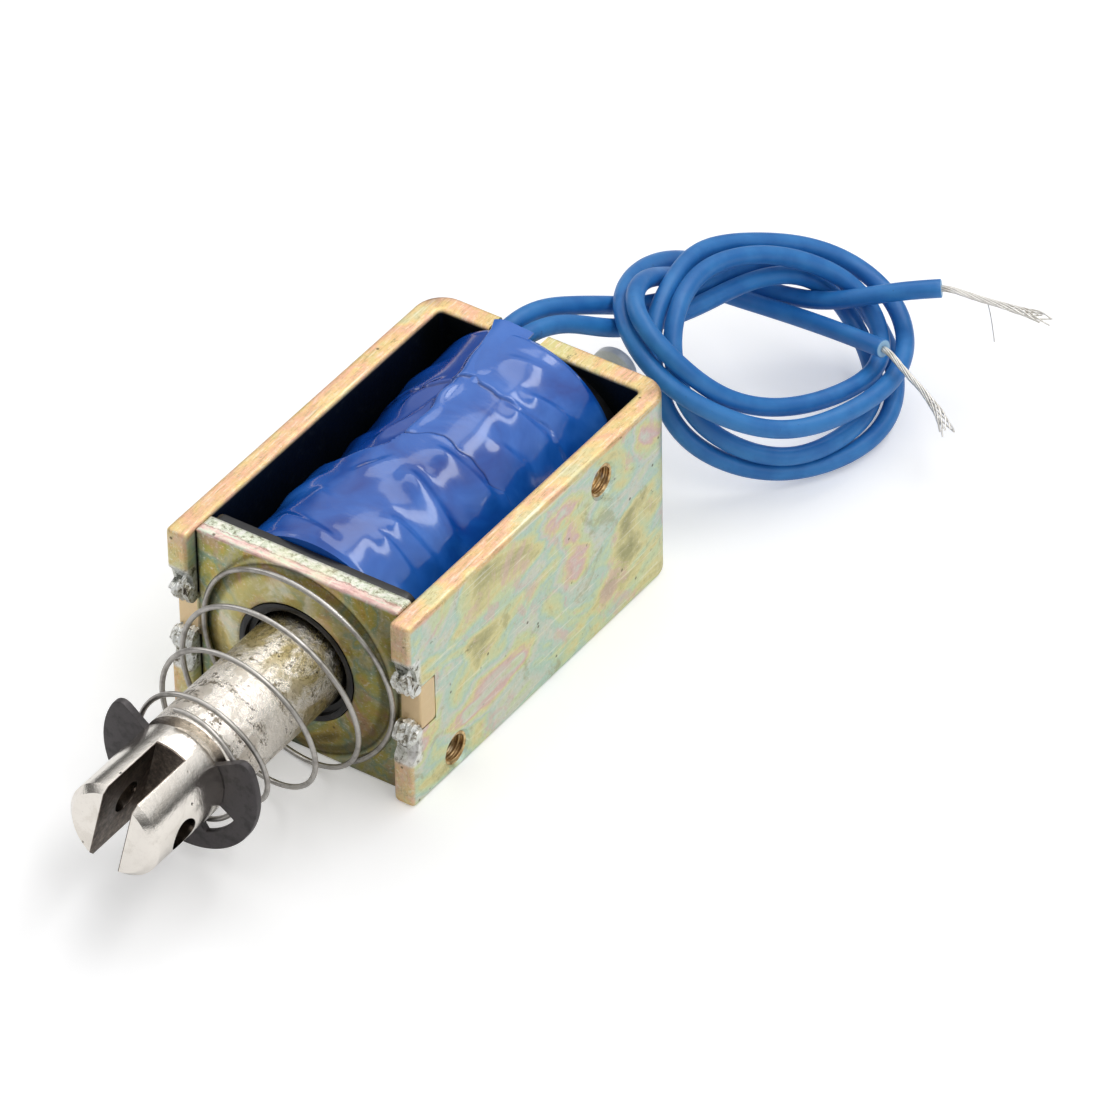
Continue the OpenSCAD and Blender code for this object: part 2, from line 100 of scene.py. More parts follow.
def curve_through(points: np.ndarray, step: float) -> np.ndarray:
    """Runs a natural cubic spline through points.

    The second derivatives solve the usual three-term system over the chord
    lengths, and each stretch is its cubic in the chord length.

    Args:
        points: points to pass through, in order.
        step: wanted distance between the samples.

    Returns:
        Samples along the curve, ends included.
    """
    chord = np.linalg.norm(np.diff(points, axis=0), axis=1)
    t = np.concatenate([[0.0], np.cumsum(chord)])
    n = len(points)
    system = np.eye(n)
    inner = np.arange(1, n - 1)
    system[inner, inner - 1] = chord[:-1]
    system[inner, inner] = 2 * (chord[:-1] + chord[1:])
    system[inner, inner + 1] = chord[1:]
    slope = np.diff(points, axis=0) / chord[:, None]
    right = np.zeros_like(points)
    right[1:-1] = 6 * np.diff(slope, axis=0)
    bend = np.linalg.solve(system, right)
    at = np.linspace(0, t[-1], max(int(t[-1] / step), 8))
    k = np.clip(np.searchsorted(t, at, side="right") - 1, 0, n - 2)
    h, p, q = chord[k][:, None], (at - t[k])[:, None], (t[k + 1] - at)[:, None]
    return (
        (bend[k] * q**3 + bend[k + 1] * p**3) / (6 * h)
        + (points[k] / h - bend[k] * h / 6) * q
        + (points[k + 1] / h - bend[k + 1] * h / 6) * p
    )


def relaxed(path: np.ndarray, spread: float) -> np.ndarray:
    """Smooths a line with a bell of the given number of samples and leaves its ends in place.

    The line goes on past each end as its own point reflection, so that the
    weighted mean of the end is the end itself.

    Args:
        path: evenly spaced points.
        spread: standard deviation of the bell, in samples.

    Returns:
        The smoothed line, with as many points.
    """
    reach = int(3 * spread)
    head = 2 * path[0] - path[reach:0:-1]
    tail = 2 * path[-1] - path[-2:-reach - 2:-1]
    bell = np.exp(-0.5 * (np.arange(-reach, reach + 1) / spread) ** 2)
    bell /= bell.sum()
    whole = np.concatenate([head, path, tail])
    return np.stack([np.convolve(axis, bell, mode="valid") for axis in whole.T], -1)


def carried_frame(path: np.ndarray) -> tuple[np.ndarray, np.ndarray, np.ndarray]:
    """Gives each path point a heading and two cross directions that don't twist.

    The cross directions start from a fixed up, and the turn between
    neighbouring ones is summed along the path and taken back out.

    Args:
        path: points along the path.

    Returns:
        Headings, first and second cross directions.
    """
    t = unit(np.gradient(path, axis=0))
    a = unit(np.cross(t, unit(np.array([0.21, 0.37, 0.9]))))
    b = np.cross(t, a)
    ahead = a[1:] - (a[1:] * t[:-1]).sum(-1, keepdims=True) * t[:-1]
    twist = np.arctan2((ahead * b[:-1]).sum(-1), (ahead * a[:-1]).sum(-1))
    turn = -np.concatenate([[0.0], np.cumsum(twist)])[:, None]
    return t, np.cos(turn) * a + np.sin(turn) * b, np.cos(turn) * b - np.sin(turn) * a


def rounded_loop(w: float, h: float, r: float, corner: int = 6, side: int = 1) -> np.ndarray:
    """Draws a rectangle with round corners as a closed loop.

    Each corner is a quarter circle, and each side is cut into equal parts.

    Args:
        w: width.
        h: height.
        r: corner radius.
        corner: steps round each corner.
        side: steps along each side.

    Returns:
        Points of the loop, counterclockwise, centred.
    """
    turn = np.linspace(0, np.pi / 2, corner + 1)
    arcs = []
    for k, (sx, sy) in enumerate(((1, 1), (-1, 1), (-1, -1), (1, -1))):
        a = turn + k * np.pi / 2
        arcs.append(np.stack([sx * (w / 2 - r) + r * np.cos(a), sy * (h / 2 - r) + r * np.sin(a)], -1))
    loop = []
    for k in range(4):
        loop.append(arcs[k])
        share = np.linspace(0, 1, side + 1)[1:-1, None]
        loop.append(arcs[k][-1] * (1 - share) + arcs[(k + 1) % 4][0] * share)
    return np.concatenate(loop)


# ---------------------------------------------------------------- surfaces


class Shell:
    """Closed surfaces as points, faces and numbers kept on the points."""

    def __init__(
        self, points: np.ndarray, faces: list[np.ndarray], marks: dict[str, np.ndarray] | None = None,
    ) -> None:
        """Keeps points, lists of faces and marks on the points."""
        self.points = points
        self.faces = faces
        self.marks = marks or {}

    @staticmethod
    def grid(
        points: np.ndarray,
        wrap_rows: bool = False,
        wrap_cols: bool = True,
        **marks: np.ndarray,
    ) -> "Shell":
        """Joins a grid of points into one closed surface.

        Neighbouring points make four-sided faces. Where the rows don't wrap,
        the first and last ring are closed by a fan to their middle. The sum of
        the tetrahedra to the origin tells which way the faces point, and they
        are turned outwards.

        Args:
            points: array of rows, columns and 3.
            wrap_rows: whether the last row joins the first.
            wrap_cols: whether the last column joins the first.
            marks: numbers for each grid point, by name.

        Returns:
            The surface.
        """
        rows, cols = points.shape[:2]
        i = np.arange(rows if wrap_rows else rows - 1)[:, None]
        j = np.arange(cols if wrap_cols else cols - 1)[None, :]
        i2, j2 = (i + 1) % rows, (j + 1) % cols
        quads = np.stack(
            np.broadcast_arrays(i * cols + j, i * cols + j2, i2 * cols + j2, i2 * cols + j), -1
        ).reshape(-1, 4)
        flat = points.reshape(-1, 3)
        kept = {k: np.broadcast_to(v, (rows, cols)).reshape(-1) for k, v in marks.items()}
        faces = [quads]
        if not wrap_rows:
            for row, end in ((0, 0), (rows - 1, 1)):
                ring = row * cols + np.arange(cols)
                nxt = np.roll(ring, -1)
                middle = np.full(cols, len(flat))
                fan = np.stack([ring, middle, nxt] if end == 0 else [ring, nxt, middle], -1)
                flat = np.concatenate([flat, flat[ring].mean(0, keepdims=True)])
                kept = {k: np.append(v, v[ring].mean()) for k, v in kept.items()}
                faces.append(fan)
        p = [flat[quads[:, k]] for k in range(4)]
        volume = (p[0] * np.cross(p[1], p[2])).sum() + (p[0] * np.cross(p[2], p[3])).sum()
        for fan in faces[1:]:
            volume += (flat[fan[:, 0]] * np.cross(flat[fan[:, 1]], flat[fan[:, 2]])).sum()
        if volume < 0:
            faces = [f[:, ::-1] for f in faces]
        return Shell(flat, faces, kept)

    @staticmethod
    def prism(outline: np.ndarray, low: float, high: float, axis: int = 1) -> "Shell":
        """Extends a flat outline along one axis; the outline gives the other two in order."""
        ends = []
        for level in (low, high):
            ends.append(np.insert(outline, axis, level, axis=1))
        return Shell.grid(np.stack(ends))

    @staticmethod
    def tube(path: np.ndarray, radius: np.ndarray | float, sides: int = 16, **marks: np.ndarray) -> "Shell":
        """Carries a circle of the given radius along a path and closes its ends."""
        _, a, b = carried_frame(path)
        turn = np.linspace(0, 2 * np.pi, sides, endpoint=False)
        r = np.broadcast_to(np.asarray(radius, float), len(path))[:, None, None]
        ring = np.cos(turn)[None, :, None] * a[:, None] + np.sin(turn)[None, :, None] * b[:, None]
        return Shell.grid(path[:, None] + r * ring, **marks)

    @staticmethod
    def turned(profile: np.ndarray, z: float, steps: int = 96, closed: bool = True) -> "Shell":
        """Turns a profile of radius and Y about the Y axis at height z.

        Args:
            profile: points of radius and Y.
            z: height of the axis.
            steps: steps round the axis.
            closed: whether the profile is a loop; otherwise its ends lie on the axis.

        Returns:
            The surface.
        """
        turn = np.linspace(0, 2 * np.pi, steps, endpoint=False)
        r, y = profile[:, 0][:, None], profile[:, 1][:, None]
        points = np.stack(np.broadcast_arrays(r * np.cos(turn), y, z + r * np.sin(turn)), -1)
        return Shell.grid(points, wrap_rows=closed)

    def __add__(self, other: "Shell") -> "Shell":
        """Returns both shells as one, with zeros where a mark is missing."""
        n = len(self.points)
        names = set(self.marks) | set(other.marks)
        marks = {
            k: np.concatenate([
                self.marks.get(k, np.zeros(n)),
                other.marks.get(k, np.zeros(len(other.points))),
            ])
            for k in names
        }
        return Shell(
            np.concatenate([self.points, other.points]),
            self.faces + [f + n for f in other.faces],
            marks,
        )

    def mesh(self, name: str) -> bpy.types.Mesh:
        """Puts the surface into a new mesh, in metres, with its marks as attributes."""
        mesh = bpy.data.meshes.new(name)
        faces = [f for block in self.faces for f in block.tolist()]
        mesh.from_pydata((self.points * MM).tolist(), [], faces)
        for key, value in self.marks.items():
            store = mesh.attributes.new(key, "FLOAT", "POINT")
            store.data.foreach_set("value", value.astype(np.float32))
        mesh.validate()
        return mesh

    def piece(self, name: str, finish: "Finish", body: Body, crease: float = 35.0) -> bpy.types.Object:
        """Makes the surface a piece of the object.

        Args:
            name: the piece's name.
            finish: what covers it.
            body: the body that it moves with.
            crease: edges sharper than this many degrees stay crisp.

        Returns:
            The new object.
        """
        return place_mesh(self.mesh(name), name, finish, body, crease)


def place_mesh(
    mesh: bpy.types.Mesh, name: str, finish: "Finish", body: Body, crease: float,
) -> bpy.types.Object:
    """Smooths a mesh between its creases, dresses it and hangs it on a body.

    Args:
        mesh: mesh in metres, in place.
        name: the piece's name.
        finish: what covers it.
        body: the body that it moves with.
        crease: edges sharper than this many degrees stay crisp.

    Returns:
        The new object.
    """
    mesh.shade_smooth()
    mesh.set_sharp_from_angle(angle=math.radians(crease))
    mesh.materials.clear()
    mesh.materials.append(finish.material())
    piece = bpy.data.objects.new(name, mesh)
    bpy.context.scene.collection.objects.link(piece)
    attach(piece, body.value)
    LOG.info("piece %s: %d faces, %s", name, len(mesh.polygons), finish.slot)
    return piece


def finished_mesh(name: str, mesh: bpy.types.Mesh, *steps: tuple[str, dict]) -> bpy.types.Mesh:
    """Runs modifiers on a mesh and returns the result as a plain mesh.

    Args:
        name: name of the result.
        mesh: mesh to work on.
        steps: pairs of a modifier's kind and its settings.

    Returns:
        The new mesh.
    """
    holder = bpy.data.objects.new(name + "_work", mesh)
    bpy.context.scene.collection.objects.link(holder)
    for kind, settings in steps:
        modifier = holder.modifiers.new(kind.lower(), kind)
        for key, value in settings.items():
            setattr(modifier, key, value)
    bpy.context.view_layer.update()
    ready = holder.evaluated_get(bpy.context.evaluated_depsgraph_get())
    result = bpy.data.meshes.new_from_object(ready)
    result.name = name
    bpy.data.objects.remove(holder)
    return result


def carved(name: str, body: Shell, cutter: Shell) -> bpy.types.Mesh:
    """Cuts one closed surface out of another."""
    tool = bpy.data.objects.new(name + "_cutter", cutter.mesh(name + "_cutter"))
    bpy.context.scene.collection.objects.link(tool)
    settings = {"operation": "DIFFERENCE", "object": tool, "solver": "EXACT", "use_self": True}
    result = finished_mesh(name, body.mesh(name + "_block"), ("BOOLEAN", settings))
    bpy.data.objects.remove(tool)
    return result


def softened_copy(node: str, width: float, segments: int = 3, angle: float = 40.0) -> bpy.types.Mesh:
    """Copies a model node's mesh and rounds its edges.

    Args:
        node: name of the node.
        width: how far each edge is rounded, in millimetres.
        segments: steps across the rounding.
        angle: only edges sharper than this many degrees are rounded.

    Returns:
        The rounded copy.
    """
    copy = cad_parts[node].data.copy()
    merged = finished_mesh(
        node + "_merged", copy,
        ("WELD", {"merge_threshold": 2e-6}),
        ("DECIMATE", {"decimate_type": "DISSOLVE", "angle_limit": math.radians(0.6)}),
    )
    return finished_mesh(
        node + "_soft", merged,
        ("BEVEL", {
            "width": width * MM, "segments": segments, "limit_method": "ANGLE",
            "angle_limit": math.radians(angle), "use_clamp_overlap": True,
            "miter_outer": "MITER_ARC",
        }),
    )


# ---------------------------------------------------------------- shader sums


class Signal:
    """A shader socket that takes part in Python sums."""

    def __init__(self, recipe: "Recipe", socket: bpy.types.NodeSocket) -> None:
        """Keeps the socket and the recipe that it belongs to."""
        self.recipe = recipe
        self.socket = socket

    def math(self, operation: str, *values: "Signal | float") -> "Signal":
        """Adds one Math node on these values."""
        return self.recipe.make("ShaderNodeMath", {"operation": operation}, dict(enumerate(values)))

    def __add__(self, other: "Signal | float") -> "Signal":
        """Returns the sum."""
        return self.math("ADD", self, other)

    __radd__ = __add__

    def __mul__(self, other: "Signal | float") -> "Signal":
        """Returns the product."""
        return self.math("MULTIPLY", self, other)

    __rmul__ = __mul__

    def __sub__(self, other: "Signal | float") -> "Signal":
        """Returns this less the other."""
        return self.math("SUBTRACT", self, other)

    def __rsub__(self, other: "Signal | float") -> "Signal":
        """Returns the other less this."""
        return self.math("SUBTRACT", other, self)

    def __truediv__(self, other: "Signal | float") -> "Signal":
        """Returns this over the other."""
        return self.math("DIVIDE", self, other)

    def __rtruediv__(self, other: "Signal | float") -> "Signal":
        """Returns the other over this."""
        return self.math("DIVIDE", other, self)

    def __pow__(self, other: float) -> "Signal":
        """Returns this to a power."""
        return self.math("POWER", self, other)

    def size(self) -> "Signal":
        """Returns this without its sign."""
        return self.math("ABSOLUTE", self)

    def either(self, other: "Signal | float") -> "Signal":
        """Returns the larger of the two."""
        return self.math("MAXIMUM", self, other)

    def lesser(self, other: "Signal | float") -> "Signal":
        """Returns the smaller of the two."""
        return self.math("MINIMUM", self, other)

    def rise(self, low: float, high: float) -> "Signal":
        """Returns 0 below low, 1 above high and a smooth rise between; high may be the lower one."""
        if low > high:
            return 1.0 - self.rise(high, low)
        return self.recipe.make(
            "ShaderNodeMapRange", {"interpolation_type": "SMOOTHSTEP"},
            {"Value": self, "From Min": low, "From Max": high},
        )


Shade = tuple[float, float, float]
Source = Signal | float | Shade


class Recipe:
    """The node tree of one material or world, built by expressions."""

    def __init__(self, owner: bpy.types.Material | bpy.types.World) -> None:
        """Empties the owner's tree and starts afresh."""
        owner.use_nodes = True
        self.tree = owner.node_tree
        self.tree.nodes.clear()

    def make(
        self, kind: str, settings: dict | None = None,
        values: dict[int | str, Source] | None = None, out: int = 0,
    ) -> Signal:
        """Adds one node.

        Args:
            kind: the node's type.
            settings: the node's own settings, set first; stops fills its colour ramp.
            values: numbers, colours or signals for its sockets.
            out: which of its outputs is wanted.

        Returns:
            The wanted output.
        """
        node = self.tree.nodes.new(kind)
        for key, value in (settings or {}).items():
            if key == "stops":
                self._fill_ramp(node.color_ramp, value)
            else:
                setattr(node, key, value)
        for key, value in (values or {}).items():
            socket = node.inputs[key]
            if isinstance(value, Signal):
                self.tree.links.new(value.socket, socket)
            elif isinstance(value, tuple) and socket.type == "RGBA":
                socket.default_value = (*value, 1.0)
            else:
                socket.default_value = value
        return Signal(self, node.outputs[out]) if len(node.outputs) else Signal(self, node.inputs[0])

    @staticmethod
    def _fill_ramp(ramp: bpy.types.ColorRamp, stops: list[tuple[float, Shade]]) -> None:
        """Sets a ramp's stops from pairs of place and colour."""
        while len(ramp.elements) < len(stops):
            ramp.elements.new(0.5)
        for element, (at, shade) in zip(ramp.elements, stops):
            element.position = at
            element.color = (*shade, 1.0)

    def place(self) -> Signal:
        """Returns the point on the piece in millimetres."""
        at = self.make("ShaderNodeTexCoord", out=3)
        return self.make("ShaderNodeVectorMath", {"operation": "SCALE"}, {0: at, "Scale": 1 / MM})

    def axis(self, at: Signal, index: int) -> Signal:
        """Returns one coordinate of a vector."""
        return self.make("ShaderNodeSeparateXYZ", values={0: at}, out=index)

    def mark(self, name: str) -> Signal:
        """Returns a number kept on the piece's points."""
        return self.make("ShaderNodeAttribute", {"attribute_name": name}, out=2)

    def vector(self, x: Source, y: Source, z: Source) -> Signal:
        """Returns a vector made of three numbers."""
        return self.make("ShaderNodeCombineXYZ", values={0: x, 1: y, 2: z})

    def turned(self, at: Signal, degrees: Shade, scale: Shade, shift: Shade = (0.0, 0.0, 0.0)) -> Signal:
        """Returns a vector moved, turned and scaled."""
        turn = tuple(math.radians(d) for d in degrees)
        return self.make(
            "ShaderNodeMapping", {"vector_type": "POINT"},
            {"Vector": at, "Location": shift, "Rotation": turn, "Scale": scale},
        )

    def noise(
        self, at: Signal, scale: float, detail: float = 3.0, rough: float = 0.55, warp: float = 0.0,
    ) -> Signal:
        """Returns soft noise from 0 to 1 with this many waves to a millimetre."""
        return self.make(
            "ShaderNodeTexNoise", {"normalize": True},
            {"Vector": at, "Scale": scale, "Detail": detail, "Roughness": rough, "Distortion": warp},
        )

    def cells(self, at: Signal, scale: float, feature: str = "F1") -> Signal:
        """Returns the distance to the nearest of scattered points."""
        return self.make("ShaderNodeTexVoronoi", {"feature": feature}, {"Vector": at, "Scale": scale})

    def ramp(self, value: Signal, *stops: tuple[float, Shade]) -> Signal:
        """Returns a colour that runs through these stops."""
        return self.make("ShaderNodeValToRGB", {"stops": list(stops)}, {0: value})

    def blend(self, share: Source, first: Source, second: Source, mode: str = "MIX") -> Signal:
        """Returns the first colour going over to the second by a share."""
        node = {"data_type": "RGBA", "blend_type": mode, "clamp_factor": True}
        return self.make("ShaderNodeMix", node, {0: share, 6: first, 7: second}, out=2)

    def within(self, value: Signal, low: float, high: float, soft: float) -> Signal:
        """Returns 1 between two values and 0 outside, going over softly."""
        return value.rise(low - soft, low + soft) * value.rise(high + soft, high - soft)

    def bump(self, height: Signal, depth: float, strength: Source = 1.0, over: Signal | None = None) -> Signal:
        """Returns a normal raised by a height of 0 to 1 times a depth in millimetres."""
        values: dict[int | str, Source] = {"Height": height, "Distance": depth * MM, "Strength": strength}
        if over is not None:
            values["Normal"] = over
        return self.make("ShaderNodeBump", values=values)

    def surface(self, **sockets: Source) -> Signal:
        """Adds the principled shader with these sockets, in which _ stands for a space."""
        values = {key.replace("_", " "): value for key, value in sockets.items()}
        return self.make("ShaderNodeBsdfPrincipled", values=values)

    def finish(self, shader: Signal, kind: str = "Material") -> None:
        """Sends the shader to the output."""
        self.make("ShaderNodeOutput" + kind, values={"Surface": shader})


# ---------------------------------------------------------------- finishes


class Finish:
    """A covering that builds one material and hands it out again."""

    slot: str = ""

    def material(self) -> bpy.types.Material:
        """Returns the material, made the first time."""
        name = type(self).__name__ + "." + self.slot
        known = bpy.data.materials.get(name)
        if known is None:
            known = bpy.data.materials.new(name)
            recipe = Recipe(known)
            recipe.finish(self.paint(recipe))
        return known

    def paint(self, r: Recipe) -> Signal:
        """Builds the shader."""
        raise NotImplementedError

    def cover(self, *nodes: str) -> None:
        """Gives model nodes this material in place of their plain one."""
        for node in nodes:
            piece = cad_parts[node]
            if not piece.material_slots:
                piece.data.materials.append(None)
            for held in piece.material_slots:
                held.link = "OBJECT"
                held.material = self.material()
            LOG.info("node %s: %s", node, self.slot)


@dataclass(frozen=True)
class YellowZinc(Finish):
    """Yellow-passivated zinc: thin-film bands of gold, green, teal and pink, grainy rims and scratches.

    Attributes:
        slot: material slot of the record.
        teal: the blue-green bands.
        green: the green-gold of most of it.
        gold: its yellow bands.
        pale: its greyish bands.
        pink: the blush between them.
        olive: its darker clouds.
        rough: roughness of the clean film.
    """

    slot: str = "zinc_strap"
    teal: Shade = (0.52, 0.68, 0.58)
    green: Shade = (0.64, 0.72, 0.46)
    gold: Shade = (0.76, 0.70, 0.36)
    pale: Shade = (0.68, 0.69, 0.60)
    pink: Shade = (0.74, 0.52, 0.49)
    olive: Shade = (0.42, 0.40, 0.20)
    rough: float = 0.34

    def film(self, r: Recipe, at: Signal) -> Signal:
        """Runs the colours of the film over a drifting thickness.

        Args:
            r: recipe to build in.
            at: point in millimetres.

        Returns:
            The film's colour.
        """
        slant = r.turned(at, (38.0, 0.0, 25.0), (1.0, 0.55, 1.0))
        thick = r.noise(slant, 0.13, 5.0, 0.52, 0.5)
        tone = r.ramp(
            thick, (0.30, self.olive), (0.38, self.gold), (0.43, self.green),
            (0.47, self.teal), (0.51, self.pale),
            (0.545, self.green), (0.58, self.gold), (0.62, self.pink), (0.66, self.pale), (0.72, self.green),
        )
        blush = r.noise(r.turned(at, (0.0, 20.0, 0.0), (1.0, 0.8, 0.8), (31.0, 7.0, 3.0)), 0.20, 5.0, 0.66, 0.5)
        tone = r.blend(blush.rise(0.55, 0.64) * 0.60, tone, self.pink)
        return r.blend(blush.rise(0.43, 0.34) * 0.55, tone, self.olive)

    def wear(self, r: Recipe, at: Signal, tone: Signal) -> Signal:
        """Lays fine grain, scratches and dark specks over the film.

        Args:
            r: recipe to build in.
            at: point in millimetres.
            tone: the film's colour.

        Returns:
            The worn colour.
        """
        fine = r.noise(at, 1.9, 6.0, 0.78)
        tone = r.blend(fine.rise(0.52, 0.68) * 0.38, tone, self.olive)
        tone = r.blend(fine.rise(0.46, 0.34) * 0.35, tone, (0.88, 0.87, 0.76))
        lines = r.noise(r.turned(at, (-38.0, 0.0, 0.0), (1.0, 0.045, 1.5)), 1.7, 3.0, 0.6)
        tone = r.blend(lines.rise(0.60, 0.66) * 0.45, tone, (0.90, 0.88, 0.74))
        soil = r.noise(
            r.turned(at, (25.0, 0.0, 0.0), (1.0, 0.5, 1.2), (9.0, 2.0, 5.0)), 0.75, 4.0, 0.7,
        ).rise(0.65, 0.73)
        tone = r.blend(soil * 0.65, tone, (0.15, 0.13, 0.06))
        specks = r.cells(at, 0.42).rise(0.11, 0.05) * r.noise(at, 0.3, 1.0).rise(0.45, 0.55)
        return r.blend(specks * 0.8, tone, (0.10, 0.08, 0.04))

    def rims(self, r: Recipe, at: Signal) -> tuple[Signal, Signal]:
        """Gives the strap's sheared upper edge its share and its grainy peach colour."""
        front = r.axis(at, 1).rise(float(box_mm("frame")[0][1]) + 0.5, float(box_mm("frame")[0][1]) + 0.1)
        share = r.axis(at, 2).rise(24.6, 25.2).either(front * 0.8)
        drift = r.noise(r.turned(at, (0.0, 0.0, 0.0), (1.0, 0.5, 0.6)), 0.22, 3.0, 0.6)
        warm = r.ramp(
            drift, (0.34, (0.74, 0.66, 0.30)), (0.44, (0.84, 0.58, 0.27)), (0.52, (0.86, 0.50, 0.33)),
            (0.60, (0.88, 0.64, 0.30)), (0.68, (0.72, 0.66, 0.38)),
        )
        streak = r.noise(r.turned(at, (0.0, 0.0, 50.0), (2.4, 0.30, 1.0)), 1.1, 6.0, 0.80)
        warm = r.blend(streak.rise(0.53, 0.64) * 0.65, warm, (0.42, 0.30, 0.12))
        return share, r.blend(streak.rise(0.46, 0.36) * 0.60, warm, (0.97, 0.88, 0.74))

    def places(self, r: Recipe, at: Signal, tone: Signal) -> Signal:
        """Paints shade on the strap's inside, bares the metal in the notches and darkens the upper rear corners in
        patches.

        Args:
            r: recipe to build in.
            at: point in millimetres.
            tone: colour so far.

        Returns:
            The colour with those places in it.
        """
        low, high = box_mm("frame")
        x, y, z = (r.axis(at, k) for k in range(3))
        side = x.size()
        patch_noise = r.noise(at, 0.6, 5.0, 0.7)
        # darkens the upper rear corners in patches
        corner = (
            side.rise(high[0] - 3.6, high[0] - 0.6) * y.rise(high[1] - 4.2, high[1] - 0.4)
            * z.rise(15.0, 25.0)
        )
        tone = r.blend((corner * (patch_noise * 2.4 - 0.55)).lesser(0.9).either(0.0), tone, (0.055, 0.045, 0.03))
        beside = (z - TAB_Z).size()
        cut = y.rise(low[1] + 2.3, low[1] + 1.5) * beside.rise(2.9, 3.2) * beside.rise(7.6, 7.0)
        torn = r.ramp(
            r.noise(at, 1.1, 4.0, 0.7), (0.36, (0.09, 0.08, 0.06)), (0.45, (0.62, 0.62, 0.58)), (0.6, (0.90, 0.91, 0.90)),
        )
        tone = r.blend(cut * 0.9, tone, torn)
        # painted shade: the strap's inside faces go near black, since they lie in shadow
        inside = side.rise(high[0] - 2.66, high[0] - 2.76) * y.rise(high[1] - 2.66, high[1] - 2.76)
        inside = inside * z.rise(25.3, 24.9) * y.rise(low[1] + 1.6, low[1] + 2.0)
        return r.blend(
            inside, tone, r.blend(patch_noise.rise(0.55, 0.75), (0.010, 0.014, 0.016), (0.035, 0.04, 0.035)),
        )

    def paint(self, r: Recipe) -> Signal:
        """Builds the film, its rims, its places and its wear."""
        at = r.place()
        share, warm = self.rims(r, at)
        tone = r.blend(share * 0.92, self.film(r, at), warm)
        tone = self.places(r, at, self.wear(r, at, tone))
        grain = r.noise(at, 1.4, 6.0, 0.72)
        bump = r.bump(r.noise(at, 0.35, 3.0, 0.6), 0.25, 0.25)
        bump = r.bump(grain, 0.10, 0.5, bump)
        return r.surface(
            Base_Color=tone, Metallic=0.82, Roughness=self.rough + grain * 0.20 + share * 0.12, Normal=bump,
        )


@dataclass(frozen=True)
class ShadedPlateZinc(YellowZinc):
    """The same zinc on the front plate, in deep olive colours that paint its shade, with a painted highlight on the
    boss and a torn pink top edge.
    """

    slot: str = "zinc_plate"
    # darker colours than the strap's: painted shade of the front plate
    teal: Shade = (0.26, 0.38, 0.28)
    green: Shade = (0.46, 0.44, 0.13)
    gold: Shade = (0.58, 0.43, 0.11)
    pale: Shade = (0.52, 0.48, 0.28)
    pink: Shade = (0.56, 0.33, 0.22)
    olive: Shade = (0.17, 0.14, 0.04)
    rough: float = 0.22

    def rims(self, r: Recipe, at: Signal) -> tuple[Signal, Signal]:
        """Gives the plate's top edge its smooth pink front half and its torn rear half."""
        rear = float(box_mm("front_plate")[1][1])
        share = r.axis(at, 2).rise(24.95, 25.3)
        back = (r.axis(at, 1) - rear + 2.8) * (1 / 2.8)
        ragged = back + r.noise(at, 0.8, 5.0, 0.75) * 0.5 - 0.25
        smooth = r.ramp(
            r.noise(r.turned(at, (0.0, 0.0, 0.0), (0.4, 2.0, 1.0)), 0.8, 4.0, 0.7),
            (0.36, (0.70, 0.42, 0.40)), (0.5, (0.88, 0.62, 0.58)), (0.62, (0.74, 0.80, 0.66)),
        )
        rough = r.ramp(
            r.noise(at, 1.5, 4.0, 0.8), (0.36, (0.22, 0.20, 0.14)),
            (0.45, (0.66, 0.72, 0.56)), (0.6, (0.90, 0.88, 0.82)),
        )
        tone = r.blend(ragged.rise(0.42, 0.50), smooth, rough)
        return share, r.blend(r.within(ragged, 0.40, 0.45, 0.03) * 0.8, tone, (0.34, 0.20, 0.17))

    def places(self, r: Recipe, at: Signal, tone: Signal) -> Signal:
        """Paints a highlight on the boss, more to the upper left, and paints shade to the lower right, on its
        shoulder, at its foot and on the plate's side rim, with a painted highlight ring round the boss.
        """
        x, z = r.axis(at, 0), r.axis(at, 2) - AXIS_Z
        away = (x * x + z * z) ** 0.5
        cloud = r.noise(at, 0.30, 4.0, 0.6, 0.6)
        # painted highlight on the boss, stronger to the upper left
        lit = (z * 0.75 - x * 0.66 + cloud * 12.0 - 6.0).rise(-4.0, 12.0)
        glow = away.rise(11.7, 10.2) * lit
        bright = r.blend(cloud.rise(0.45, 0.60), (0.66, 0.58, 0.26), (0.90, 0.84, 0.66))
        tone = r.blend(glow * 0.70, tone, bright)
        # painted shade, stronger to the lower right
        shade = (x * 0.8 - z * 0.45 + cloud * 10.0 - 5.0).rise(-2.0, 12.0)
        tone = r.blend(shade * 0.45, tone, (0.13, 0.105, 0.03))
        # painted shade on the boss's shoulder
        shoulder = r.within(away, 11.1, 12.3, 0.35)
        tone = r.blend(shoulder * 0.62, tone, (0.07, 0.055, 0.02))
        # painted shadow where the boss meets the plate
        foot = r.within(away, 12.25, 12.6, 0.2)
        tone = r.blend(foot * 0.75, tone, (0.035, 0.03, 0.012))
        # painted highlight ring just outside the boss
        rim = r.within(away, 12.8, 13.3, 0.3) * 0.35
        tone = r.blend(rim, tone, (0.80, 0.74, 0.46))
        # painted shade along the plate's side edges, in the gaps by the walls
        edge = r.axis(at, 2).rise(24.6, 24.0)
        side = r.within(x.size(), 13.3, 13.66, 0.25) * edge
        tone = r.blend(side * 0.8, tone, (0.06, 0.045, 0.015))
        return r.blend(x.size().rise(13.75, 13.95) * 0.9, tone, (0.80, 0.60, 0.36))


